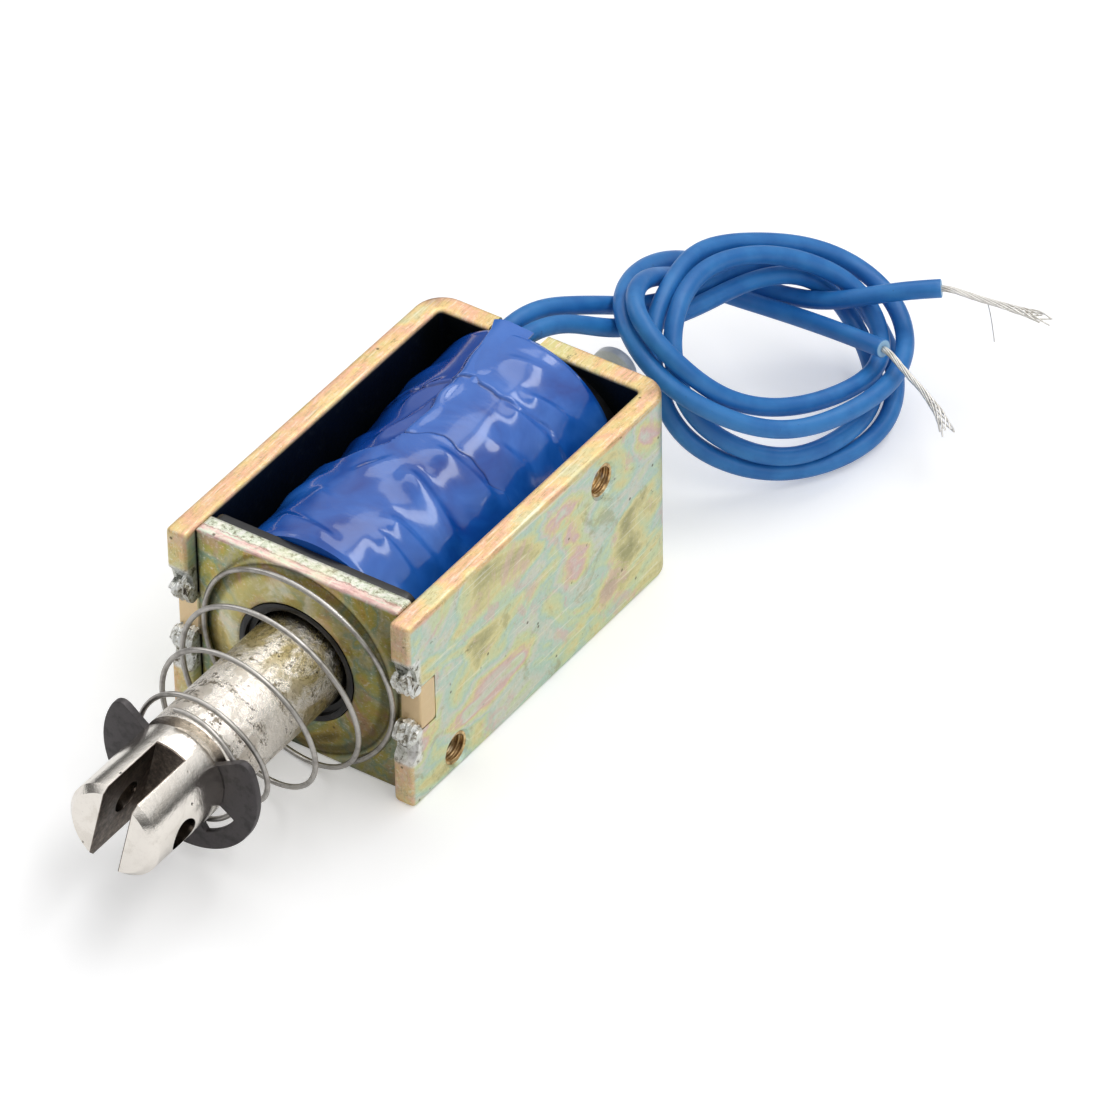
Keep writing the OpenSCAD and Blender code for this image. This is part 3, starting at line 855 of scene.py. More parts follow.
@dataclass(frozen=True)
class BareZinc(Finish):
    """Bright metal where a punch has torn the film."""

    slot: str = "zinc_core"

    def paint(self, r: Recipe) -> Signal:
        """Builds silver metal with dull grain."""
        at = r.place()
        grain = r.noise(at, 0.9, 5.0, 0.75, 0.8)
        tone = r.ramp(
            grain, (0.36, (0.06, 0.05, 0.04)), (0.42, (0.45, 0.42, 0.34)), (0.48, (0.82, 0.83, 0.80)),
            (0.60, (0.93, 0.94, 0.92)), (0.68, (0.40, 0.34, 0.22)),
        )
        return r.surface(
            Base_Color=tone, Metallic=1.0, Roughness=0.20 + grain * 0.2, Normal=r.bump(grain, 0.35, 0.8),
        )


@dataclass(frozen=True)
class ThreadMetal(Finish):
    """Brassy film on the cut threads."""

    slot: str = "zinc_strap"

    def paint(self, r: Recipe) -> Signal:
        """Builds dark gold metal that is brighter in patches."""
        at = r.place()
        worn = r.noise(at, 1.2, 3.0, 0.6)
        tone = r.ramp(worn, (0.35, (0.34, 0.20, 0.09)), (0.55, (0.72, 0.50, 0.24)), (0.7, (0.85, 0.68, 0.42)))
        return r.surface(Base_Color=tone, Metallic=1.0, Roughness=0.28, Normal=r.bump(worn, 0.04, 0.5))


@dataclass(frozen=True)
class Nickel(Finish):
    """Nickel plate over a pitted bar: bright warm prongs, a gritty shank, brown slot faces and painted reflections
    near the housing.

    Attributes:
        slot: material slot of the record.
        bright: the clean plating.
        dull: its cloudy patches.
        grit: its dark grit.
        plate_reflection: painted reflection of the yellow plate, near the housing.
        turn: how far the clevis is turned about the plunger's axis, in degrees.
        gap: half the width of its slot.
        deep: distance of the slot's end from the tip.
        hole: distance of the cross hole from the tip.
    """

    slot: str = "nickel_steel"
    bright: Shade = (0.93, 0.88, 0.81)
    dull: Shade = (0.60, 0.54, 0.46)
    grit: Shade = (0.16, 0.13, 0.09)
    plate_reflection: Shade = (0.52, 0.42, 0.18)
    turn: float = 14.0
    gap: float = 1.93
    deep: float = 9.7
    hole: float = 5.5

    def paint(self, r: Recipe) -> Signal:
        """Builds the plating, its grit, its pits, its slot and its painted reflections near the housing."""
        at = r.place()
        low = float(box_mm("plunger")[0][1])
        x, z = r.axis(at, 0), r.axis(at, 2) - AXIS_Z
        along = r.axis(at, 1) - low
        shank = along.rise(12.5, 16.0)
        cloud = r.noise(r.turned(at, (0.0, 0.0, 0.0), (1.0, 0.6, 1.0)), 0.34, 6.0, 0.68, 0.6)
        coarse = r.noise(at, 1.5, 6.0, 0.80)
        tone = r.blend(cloud.rise(0.50, 0.62) * (shank * 0.55 + 0.25), self.bright, self.dull)
        band = r.noise(r.turned(at, (0.0, 0.0, 0.0), (0.5, 1.6, 0.5)), 0.30, 4.0, 0.65, 0.4).rise(0.47, 0.58)
        gritty = (coarse + band * 0.13).rise(0.60, 0.70) * (shank * 0.85 + 0.05)
        tone = r.blend(gritty, tone, self.grit)
        # painted reflections near the housing: a yellow cast from the plate, then dark patches
        near = along.rise(23.0, 31.0)
        tone = r.blend(near * cloud.rise(0.42, 0.58) * 0.85, tone, self.plate_reflection)
        tone = r.blend(near * coarse.rise(0.50, 0.62) * 0.75, tone, (0.13, 0.10, 0.04))
        pit = r.cells(at, 0.62).rise(0.13, 0.05) * r.noise(at, 0.35, 2.0).rise(0.50, 0.58)
        tone = r.blend(pit * 0.9, tone, (0.06, 0.045, 0.035))
        c, s = math.cos(math.radians(self.turn)), math.sin(math.radians(self.turn))
        across = (x * c - z * s).size()
        inside = across.rise(self.gap + 0.10, self.gap + 0.03) * along.rise(self.deep + 0.10, self.deep)
        oxide = r.ramp(
            coarse, (0.36, (0.035, 0.026, 0.020)), (0.52, (0.13, 0.10, 0.08)), (0.66, (0.30, 0.25, 0.20)),
        )
        tone = r.blend(inside * 0.94, tone, oxide)
        aside = ((along - self.hole) ** 2.0 + (x * s + z * c) ** 2.0) ** 0.5
        bored = aside.rise(2.06, 2.0) * across.rise(self.gap - 0.1, self.gap)
        tone = r.blend(bored * 0.8, tone, oxide)
        bump = r.bump(r.noise(at, 0.7, 5.0, 0.65), 0.22, 0.22)
        bump = r.bump(1.0 - pit, 0.12, 0.9, bump)
        bump = r.bump(coarse, 0.22, shank * 0.55 + 0.08, bump)
        rough = 0.12 + cloud.rise(0.45, 0.7) * 0.12 + shank * 0.10 + inside * 0.25
        return r.surface(Base_Color=tone, Metallic=1.0, Roughness=rough, Normal=bump)


@dataclass(frozen=True)
class Plastic(Finish):
    """Moulded or rolled plastic with a faint grain and its own gloss."""

    slot: str = "black_nylon"
    tone: Shade = (0.006, 0.006, 0.007)
    light: Shade = (0.016, 0.016, 0.017)
    rough: float = 0.26
    grain: float = 0.05
    clear: float = 0.0

    def paint(self, r: Recipe) -> Signal:
        """Builds the tone, its faint variation and its grain."""
        at = r.place()
        cloud = r.noise(at, 0.5, 4.0, 0.6)
        fine = r.noise(at, 3.0, 3.0, 0.6)
        tone = r.blend(cloud.rise(0.4, 0.7), self.tone, self.light)
        return r.surface(
            Base_Color=tone, Roughness=self.rough + fine * 0.12, Normal=r.bump(fine, self.grain, 0.4),
            Transmission_Weight=self.clear,
        )


@dataclass(frozen=True)
class BlueTape(Finish):
    """Glossy blue film, with painted shade on its lower layer and painted shadow along its laps, and paler where it
    lies double.

    Attributes:
        slot: material slot of the record.
        tone: most of it.
        deep: its dark clouds, and the painted shade on its lower layer.
        pale: its light clouds and its doubled layer.
        line: the painted shadow along laps.
    """

    slot: str = "blue_tape"
    tone: Shade = (0.010, 0.115, 0.52)
    deep: Shade = (0.003, 0.050, 0.34)
    pale: Shade = (0.035, 0.180, 0.66)
    line: Shade = (0.002, 0.015, 0.12)

    def paint(self, r: Recipe) -> Signal:
        """Builds the film's colour, its overlaps with their painted shade and shadow, and its small creases."""
        at = r.place()
        cloud = r.noise(at, 0.10, 4.0, 0.55, 0.5)
        tone = r.ramp(cloud, (0.34, self.deep), (0.50, self.tone), (0.66, self.pale))
        # painted shade on the lower layer left of the fold
        tone = r.blend(r.mark("under") * 0.75, tone, self.deep)
        tone = r.blend(r.mark("over") * 0.55, tone, self.pale)
        # painted shadow along the laps
        tone = r.blend(r.mark("lap") * 0.85, tone, self.line)
        soft = r.noise(r.turned(at, (0.0, 0.0, 12.0), (0.55, 1.5, 0.55)), 0.33, 3.0, 0.55, 0.4)
        bump = r.bump(soft, 0.40, 0.12)
        bump = r.bump(r.noise(at, 1.6, 3.0), 0.02, 0.25, bump)
        return r.surface(
            Base_Color=tone, Roughness=0.15 + cloud * 0.08, Coat_Weight=0.5, Coat_Roughness=0.05,
            Specular_IOR_Level=0.5, Normal=bump,
        )


@dataclass(frozen=True)
class Steel(Finish):
    """Drawn or stamped steel with a fine lay and dull patches."""

    slot: str = "spring_steel"
    tone: Shade = (0.50, 0.48, 0.45)
    dark: Shade = (0.26, 0.24, 0.22)
    rough: float = 0.30
    metal: float = 1.0

    def paint(self, r: Recipe) -> Signal:
        """Builds the metal's colour and lay."""
        at = r.place()
        cloud = r.noise(at, 0.6, 3.0, 0.6)
        fine = r.noise(at, 3.2, 3.0, 0.6)
        tone = r.blend(cloud.rise(0.45, 0.7) * 0.7 + fine.rise(0.55, 0.7) * 0.2, self.tone, self.dark)
        return r.surface(
            Base_Color=tone, Metallic=self.metal, Roughness=self.rough + fine * 0.14,
            Normal=r.bump(fine, 0.05, 0.45),
        )


@dataclass(frozen=True)
class LeadJacket(Finish):
    """Soft blue insulation with a dull sheen, faint marks and pale cut ends."""

    slot: str = "blue_pvc"
    tone: Shade = (0.014, 0.155, 0.47)
    pale: Shade = (0.030, 0.215, 0.56)
    ink: Shade = (0.006, 0.05, 0.15)

    def paint(self, r: Recipe) -> Signal:
        """Builds the jacket from its place along and round the lead."""
        at = r.place()
        along, cut = r.mark("along"), r.mark("cut")
        cloud = r.noise(at, 0.25, 3.0, 0.5)
        tone = r.blend(cloud.rise(0.35, 0.7), self.tone, self.pale)
        soil = r.noise(r.vector(along * 0.9, 3.1, r.mark("round") * 2.0), 1.0, 3.0, 0.7).rise(0.66, 0.74)
        tone = r.blend(soil * 0.5, tone, self.ink)
        tone = r.blend(cut, tone, (0.30, 0.52, 0.74))
        fine = r.noise(at, 1.6, 3.0, 0.6)
        bump = r.bump(fine, 0.04, 0.3)
        return r.surface(Base_Color=tone, Roughness=0.36 + fine * 0.12, Specular_IOR_Level=0.5, Normal=bump)


@dataclass(frozen=True)
class TapedPaper(Finish):
    """Yellow film under the joints."""

    slot: str = "yellow_tape"

    def paint(self, r: Recipe) -> Signal:
        """Builds yellow film with faint creases."""
        at = r.place()
        crease = r.noise(at, 0.8, 3.0, 0.6)
        tone = r.blend(crease, (0.62, 0.44, 0.05), (0.75, 0.58, 0.12))
        return r.surface(Base_Color=tone, Roughness=0.32, Normal=r.bump(crease, 0.05, 0.4))


@dataclass(frozen=True)
class CopperWire(Finish):
    """Enamelled wire laid turn beside turn."""

    slot: str = "enamelled_copper"

    def paint(self, r: Recipe) -> Signal:
        """Builds copper with a ridge for each turn, with painted shade between turns and a painted highlight on each
        crest.
        """
        at = r.place()
        wave = (r.axis(at, 1) * 15.7).math("SINE", r.axis(at, 1) * 15.7) * 0.5 + 0.5
        # painted shade between turns, painted highlight on each crest
        tone = r.blend(wave, (0.30, 0.10, 0.03), (0.72, 0.33, 0.14))
        return r.surface(Base_Color=tone, Metallic=0.7, Roughness=0.25, Normal=r.bump(wave, 0.10, 0.7))


ZINC, SHADED_PLATE_ZINC, BARE_ZINC, THREAD = YellowZinc(), ShadedPlateZinc(), BareZinc(), ThreadMetal()
NICKEL, TAPE, JACKET = Nickel(), BlueTape(), LeadJacket()
NYLON = Plastic()
WHITE_NYLON = Plastic("white_nylon", (0.74, 0.75, 0.75), (0.84, 0.85, 0.84), 0.28, 0.03)
SPRING_STEEL = Steel()
CLIP_STEEL = Steel("black_clip", (0.075, 0.068, 0.070), (0.030, 0.027, 0.028), 0.40, 0.5)
ROD_STEEL = Steel("dark_rod", (0.16, 0.15, 0.15), (0.06, 0.06, 0.06), 0.34)
CORE_STEEL = Steel("zinc_core", (0.66, 0.64, 0.58), (0.44, 0.42, 0.34), 0.30)
SOLDER = Steel("solder", (0.62, 0.62, 0.62), (0.42, 0.42, 0.42), 0.26)
TINNED = Steel("tinned_copper", (0.80, 0.78, 0.74), (0.52, 0.48, 0.42), 0.24)


# ---------------------------------------------------------------- leads


@dataclass
class Lead:
    """One insulated lead with its bare, fraying strands.

    Attributes:
        name: a or b.
        route: points that the lead passes, from its joint to its bare end.
        strand_route: points that its bare strands pass.
        exit: where it leaves the housing; not used.
        fray: how far the strands spread at their tips.
        stray: whether one strand hangs off on its own.
        diameter: of the lead.
        strand_d: of one strand.
        strands: how many strands show.
        supple: how far the lead evens out its own bends, in samples.
    """

    name: str
    route: tuple[Shade, ...]
    strand_route: tuple[Shade, ...]
    exit: Shade
    fray: float
    stray: bool
    diameter: float = 2.2
    strand_d: float = 0.2
    strands: int = 9
    supple: float = 5.0

    def jacket(self) -> tuple[Shell, np.ndarray]:
        """Carries a circle along the smoothed route, with its cut end turned in.

        The radius drops a little just before the cut end, so that the cut looks
        rounded, and the last rings run into the end's middle.

        Returns:
            The surface and the line it follows.
        """
        line = relaxed(curve_through(np.array(self.route), 0.6), self.supple)
        step = np.linalg.norm(np.diff(line, axis=0), axis=1)
        along = np.concatenate([[0.0], np.cumsum(step)])
        radius = np.full(len(line), self.diameter / 2)
        radius *= 1 + 0.012 * np.sin(along * 0.31) * np.sin(along * 0.13)
        heading = unit(line[-1] - line[-2])
        ends = line[-1] + np.array([0.06, 0.10, 0.10, 0.02])[:, None] * heading
        path = np.concatenate([line, ends[:1], ends[1:]])
        sizes = np.concatenate([radius, self.diameter / 2 * np.array([0.97, 0.90, 0.62, 0.30])])
        marks = np.concatenate([along, along[-1] + np.array([0.1, 0.1, 0.1, 0.1])])
        cut = np.concatenate([np.zeros(len(line)), np.array([0.3, 1.0, 1.0, 0.6])])
        _, a, b = carried_frame(line)
        a, b = (np.concatenate([v, np.repeat(v[-1:], 4, 0)]) for v in (a, b))
        turn = np.linspace(0, 2 * np.pi, 24, endpoint=False)
        ring = np.cos(turn)[None, :, None] * a[:, None] + np.sin(turn)[None, :, None] * b[:, None]
        points = path[:, None] + sizes[:, None, None] * ring
        return Shell.grid(
            points, along=np.broadcast_to(marks[:, None], (len(path), 24)),
            cut=np.broadcast_to(cut[:, None], (len(path), 24)),
            round=np.broadcast_to(turn, (len(path), 24)),
        ), line

    def bundle(self) -> Shell:
        """Twists the strands round the bare route and lets them spread at the tips.

        Strand k starts at its own angle on a small circle; the angle turns
        with the way along, and the circle widens with the square of it.

        Returns:
            The strands as one surface.
        """
        line = curve_through(np.array(self.strand_route), 0.4)
        n = len(line)
        share = np.linspace(0, 1, n)
        _, a, b = carried_frame(line)
        rng = np.random.default_rng(7 if self.name == "a" else 11)
        shell = None
        for k in range(self.strands):
            turn = 2 * np.pi * k / max(self.strands - 1, 1) + share * 9.0
            inner = 0.0 if k == self.strands - 1 else 0.30
            reach = inner + self.fray * ease(share, 0.45, 1.15) * rng.uniform(0.5, 1.0)
            wob = 0.06 * np.sin(share * rng.uniform(9, 16) + rng.uniform(0, 6)) * share
            last = int(n * rng.uniform(0.86, 1.0))
            path = line + (reach * np.cos(turn) + wob)[:, None] * a + (reach * np.sin(turn))[:, None] * b
            one = Shell.tube(path[:last], self.strand_d / 2, 7)
            shell = one if shell is None else shell + one
        if self.stray:
            start = int(n * 0.42)
            t = np.linspace(0, 1, 40)[:, None]
            droop = np.array([0.1, -0.2, -1.0])
            path = line[start] + t * (0.9 * (line[start + 3] - line[start]) + droop * 2.2) + t * t * droop * 2.6
            shell = shell + Shell.tube(path, self.strand_d * 0.34, 5)
        return shell

    def build(self) -> None:
        """Makes the lead and its strands."""
        shell, line = self.jacket()
        jacket = shell.piece("lead_" + self.name + "_jacket", JACKET, Body.HOUSING, 50.0)
        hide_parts("lead_" + self.name)
        strands = self.bundle().piece("strands_" + self.name + "_bundle", TINNED, Body.HOUSING, 60.0)
        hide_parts("strands_" + self.name)


def routes() -> list[Lead]:
    """Gives both leads their routes, set from the frame's rear wall.

    Returns:
        The two leads.
    """
    low, high = box_mm("frame")
    shift = np.array([0.0, low[1], 0.0])
    a = (
        (-5.5, 44, 25), (-5.5, 50, 25), (-5.5, 55, 25), (-4.5, 58.5, 24), (-3, 62.5, 22), (-2, 66.5, 20),
        (-0.5, 70, 18), (2, 76, 17), (3, 83, 16), (4.5, 90.5, 13.5), (8, 96, 10.5), (13, 97, 7),
        (18, 94.5, 5), (22, 90.5, 3.5), (24.5, 84, 2), (23, 76.5, 1.5), (19.5, 70.5, 2), (14.5, 65.5, 4.5),
        (9.5, 62.5, 9.5), (7, 62.5, 15), (4.5, 65, 19.5), (3, 71, 21.5), (1.5, 79.5, 21), (4.5, 89, 17.5),
        (9.5, 96, 13.5), (15, 97.5, 10.5), (20.5, 94.5, 8.5), (24, 88, 7.5), (24, 79, 8), (20.5, 69, 9.5),
        (14.5, 62.5, 14), (8, 60, 19), (2.5, 62.5, 22), (-1.5, 69, 21.5), (-3, 77, 19), (-2.5, 83.5, 15.5),
        (-1, 87.5, 12), (2, 89.5, 9.5), (6.5, 90.5, 9.5), (11.5, 90.5, 10.5), (18, 93, 13), (24, 96.5, 14),
    )
    b = (
        (-3, 44, 25.5), (-3, 50, 25.5), (-2, 55.5, 24.5), (-1, 59, 22.5), (0.5, 62.5, 20), (2, 67.5, 18),
        (4, 73.5, 17), (5, 80.5, 16), (6.5, 87.5, 14.5), (9.5, 93, 11.5), (13, 94, 7.5), (16.5, 92.5, 4.5),
        (20, 89, 3.5), (22.5, 83.5, 3.5), (22.5, 76, 4), (20, 70, 4.5), (15, 66, 7), (11, 63.5, 11.5),
        (9, 63.5, 16), (7, 65.5, 20), (5.5, 70, 22), (4.5, 77, 21.5), (6.5, 86, 18.5), (11, 92.5, 14),
        (15, 94.5, 10.5), (18, 93, 8), (21, 89, 7), (21, 81.5, 7.5), (18, 72.5, 9.5), (14, 65, 14.5),
        (9, 61.5, 21), (4.5, 62, 24), (1.5, 66.5, 24), (0, 73.5, 20.5), (0, 80, 16), (0, 84.5, 11.5),
        (2.5, 87, 9.5), (6, 88, 9), (13, 88, 9.5), (22.5, 86.5, 11),
    )
    bare_a = (
        (23.4, 96.2, 13.9), (24, 96.5, 14), (27, 97.6, 13.6), (30.5, 98.7, 13), (34, 99.8, 12.4), (37, 100.6, 11.9),
    )
    bare_b = (
        (21.9, 86.6, 10.9), (22.5, 86.5, 11), (25.5, 85.8, 10), (29.5, 84.7, 8.5), (32.5, 83.4, 7), (34.8, 81.9, 5.7),
    )

    def set_back(points: tuple[Shade, ...]) -> tuple[Shade, ...]:
        """Moves points so that they count from the walls' front ends."""
        return tuple(map(tuple, (np.array(points) + shift).tolist()))

    rear = float(high[1])
    return [
        Lead("a", set_back(a), set_back(bare_a), (-5.5, rear, 25.0), 0.55, True),
        Lead("b", set_back(b), set_back(bare_b), (-3.0, rear, 25.5), 0.75, False),
    ]


# ---------------------------------------------------------------- housing


@dataclass
class StrapFrame:
    """The steel strap bent into a U, with its slots, notches, holes and staked metal.

    Attributes:
        wall: thickness of the strap.
        outer_bend: outer radius of the rear bends.
        inner_bend: inner radius of the rear bends.
        roll: radius of the strap's long edges.
        tab_z: height of the plate's tabs.
        tab_h: height of each tab.
        notch: height of each staking notch.
        hole_d: diameter of the tapped holes.
        holes: place of each tapped hole, behind the front ends and above the base.
        pitch: of the threads.
    """

    wall: float = 2.8
    outer_bend: float = 3.7
    inner_bend: float = 0.6
    roll: float = 0.55
    tab_z: float = TAB_Z
    tab_h: float = 6.0
    notch: float = 4.0
    hole_d: float = 4.0
    holes: tuple[tuple[float, float], ...] = ((37.8, 21.3), (8.5, 2.8))
    pitch: float = 0.7

    def strap(self) -> Shell:
        """Carries the strap's section round the U.

        Two lines, the outer and the inner face of the U, are walked in step:
        a straight wall, a quarter circle, the rear wall, a quarter circle, a
        wall. The section is a rectangle with rolled corners laid between
        them, and it shrinks along a quarter circle at both free ends.

        Returns:
            The strap before it is cut.
        """
        low, high = box_mm("frame")
        half, depth = high[0], high[1] - low[1]
        walk = np.linspace(0, 1, 60) ** 0.9
        turn = np.linspace(0, np.pi / 2, 12)[1:-1]

        def side(reach: float, rear: float, bend: float) -> np.ndarray:
            """Walks one face of the U from the left front end to the right one."""
            left = np.stack([np.full(60, -reach), walk * (rear - bend)], -1)
            arc = np.stack([-reach + bend - bend * np.cos(turn), rear - bend + bend * np.sin(turn)], -1)
            across = np.linspace(-1, 1, 40)
            back = np.stack([across * (reach - bend), np.full(40, rear)], -1)
            right = np.concatenate([left, arc])[::-1] * (-1, 1)
            return np.concatenate([left, arc, back, right])

        outer = side(half, depth, self.outer_bend)
        inner = side(half - self.wall, depth - self.wall, self.inner_bend)
        fillet = np.linspace(0, np.pi / 2, 6)[:-1]
        inset = self.roll * (1 - np.sin(fillet))
        start = self.roll * (1 - np.cos(fillet))
        rows = len(outer)
        shrink = np.zeros(rows + 10)
        shrink[:5], shrink[-5:] = inset, inset[::-1]
        outer = np.concatenate([np.repeat(outer[:1], 5, 0), outer, np.repeat(outer[-1:], 5, 0)])
        inner = np.concatenate([np.repeat(inner[:1], 5, 0), inner, np.repeat(inner[-1:], 5, 0)])
        outer[:, 1] = np.maximum(outer[:, 1], self.roll)
        inner[:, 1] = np.maximum(inner[:, 1], self.roll)
        outer[:5, 1] = inner[:5, 1] = start
        outer[-5:, 1] = inner[-5:, 1] = start[::-1]
        tall = high[2] - low[2]
        base = rounded_loop(self.wall, tall, self.roll, 5, 14)
        across = base[:, 0] / self.wall + 0.5
        w = 0.5 + (across[None] - 0.5) * (1 - 2 * shrink[:, None] / self.wall)
        z = base[None, :, 1] * (1 - 2 * shrink[:, None] / tall) + (low[2] + high[2]) / 2
        flat = inner[:, None] * (1 - w[..., None]) + outer[:, None] * w[..., None]
        points = np.stack([flat[..., 0], flat[..., 1] + low[1], z], -1)
        return Shell.grid(points)

    def tools(self) -> Shell:
        """Draws all that is cut from the strap.

        Boxes cut the tab slots and the lead slot, five-cornered prisms the
        staking notches, and turned cylinders the holes.

        Returns:
            The cutters as one set of surfaces.
        """
        low, high = box_mm("frame")
        y0, half = low[1], high[0]
        plate_rear = box_mm("front_plate")[1][1]
        gap = self.tab_h / 2 + 0.1
        slot = np.array([
            [y0 - 1, self.tab_z - gap], [plate_rear, self.tab_z - gap],
            [plate_rear, self.tab_z + gap], [y0 - 1, self.tab_z + gap],
        ])
        shell = Shell.prism(slot, -half - 1, half + 1, 0)
        for sign in (1, -1):
            z = self.tab_z + sign * gap
            edge = np.array([[-1, 0], [-1, 1], [0, 1], [0.9, 0.72], [1.3, 0.3], [0.9, 0.06], [0.4, -0.02]])
            outline = edge * (1, sign * self.notch) + (y0, z)
            shell = shell + Shell.prism(outline, -half - 1, half + 1, 0)
        turn = np.linspace(0, 2 * np.pi, 64, endpoint=False)
        ring = np.stack([np.cos(turn), np.sin(turn)], -1)
        for along, up in self.holes:
            circle = ring * (self.hole_d / 2 + 0.06) + (y0 + along, up)
            shell = shell + Shell.prism(circle, half - self.wall - 1, half - 0.30, 0)
            mouth = np.stack([
                np.insert(ring * r + (y0 + along, up), 0, x, axis=1)
                for r, x in (
                    (self.hole_d / 2 + 0.06, half - 0.31), (self.hole_d / 2 + 0.36, half - 0.02),
                    (self.hole_d / 2 + 0.5, half + 0.6),
                )
            ])
            shell = shell + Shell.grid(mouth)
        neck = ring * 4.0 + (0.0, AXIS_Z)
        shell = shell + Shell.prism(neck, high[1] - self.wall - 1, high[1] + 1, 1)
        gate = np.array([[-7.0, 23.6], [-0.4, 23.6], [-0.4, 27.0], [-7.0, 27.0]])
        return shell + Shell.prism(gate, high[1] - self.wall - 1, high[1] + 1, 1)

    def thread(self, along: float, up: float) -> Shell:
        """Cuts a thread into a thin sleeve that lines a hole.

        The inner radius follows a triangle wave of the way through the hole
        less the share of a turn, and the outer radius is plain.

        Args:
            along: distance of the hole behind the front ends.
            up: height of the hole.

        Returns:
            The sleeve.
        """
        low, high = box_mm("frame")
        x = np.linspace(high[0] - self.wall + 0.02, high[0] - 0.28, 56)[:, None]
        turn = np.linspace(0, 2 * np.pi, 72, endpoint=False)[None]
        wave = np.abs(((x / self.pitch - turn / (2 * np.pi)) % 1.0) * 2 - 1)
        r = self.hole_d / 2 - 0.30 * ease(wave, 0.15, 0.85)
        inner = np.stack([
            np.broadcast_to(x, r.shape), low[1] + along + r * np.cos(turn), up + r * np.sin(turn),
        ], -1)
        wide = self.hole_d / 2 + 0.05
        outer = inner.copy()
        outer[..., 1] = low[1] + along + wide * np.cos(turn)
        outer[..., 2] = up + wide * np.sin(turn)
        return Shell.grid(np.concatenate([inner, outer[::-1]]), wrap_rows=True)

    def punched(self) -> Shell:
        """Tears up the metal that the punch pushed over each tab.

        Each lip is a nose-shaped section carried across the wall. Sines of the
        place across it shift and swell the section, so that its edge is ragged.

        Returns:
            The lips as one set of surfaces.
        """
        low, high = box_mm("frame")
        nose = np.array([
            [0.15, 1.5], [-0.02, 0.9], [0.22, 0.25], [0.55, -0.55], [0.95, -0.95], [1.5, -1.0],
            [1.8, -0.95], [1.8, 0.3], [1.35, 1.2], [0.8, 1.9],
        ])
        x = np.linspace(high[0] - self.wall + 0.03, high[0] + 0.12, 26)[:, None]
        shell = None
        for k, (side, up) in enumerate(((1, 1), (1, -1), (-1, 1), (-1, -1))):
            tear = (
                0.16 * np.sin(3.3 * x + 1.7 * k) + 0.10 * np.sin(8.1 * x + k)
                + 0.06 * np.sin(15.0 * x + 2 * k)
            )
            swell = 1 + 0.20 * np.sin(2.1 * x + k) + 0.4 * tear
            ends = ease(x, x[-1], x[-1] - 0.5) * 0.5 + 0.5
            free = (nose[:, 0] < 1.7)[None]
            y = low[1] + np.where(free, nose[None, :, 0] + tear * 0.8 + 0.3 * (1 - ends), nose[None, :, 0])
            z = self.tab_z + up * (
                self.tab_h / 2 + 0.1 + nose[None, :, 1] * swell * ends + np.where(free, tear, 0.0)
            )
            lip = Shell.grid(np.stack(np.broadcast_arrays(side * x, y, z), -1))
            shell = lip if shell is None else shell + lip
        return shell

    def build(self) -> None:
        """Makes the strap, its threads and its punched metal."""
        mesh = carved("strap_frame", self.strap(), self.tools())
        piece = place_mesh(mesh, "strap_frame", ZINC, Body.HOUSING, 32.0)
        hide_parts("frame")
        for name, (along, up) in zip(("thread_rear", "thread_front"), self.holes):
            self.thread(along, up).piece(name, THREAD, Body.HOUSING, 50.0)
        self.punched().piece("staked_metal", BARE_ZINC, Body.HOUSING, 24.0)


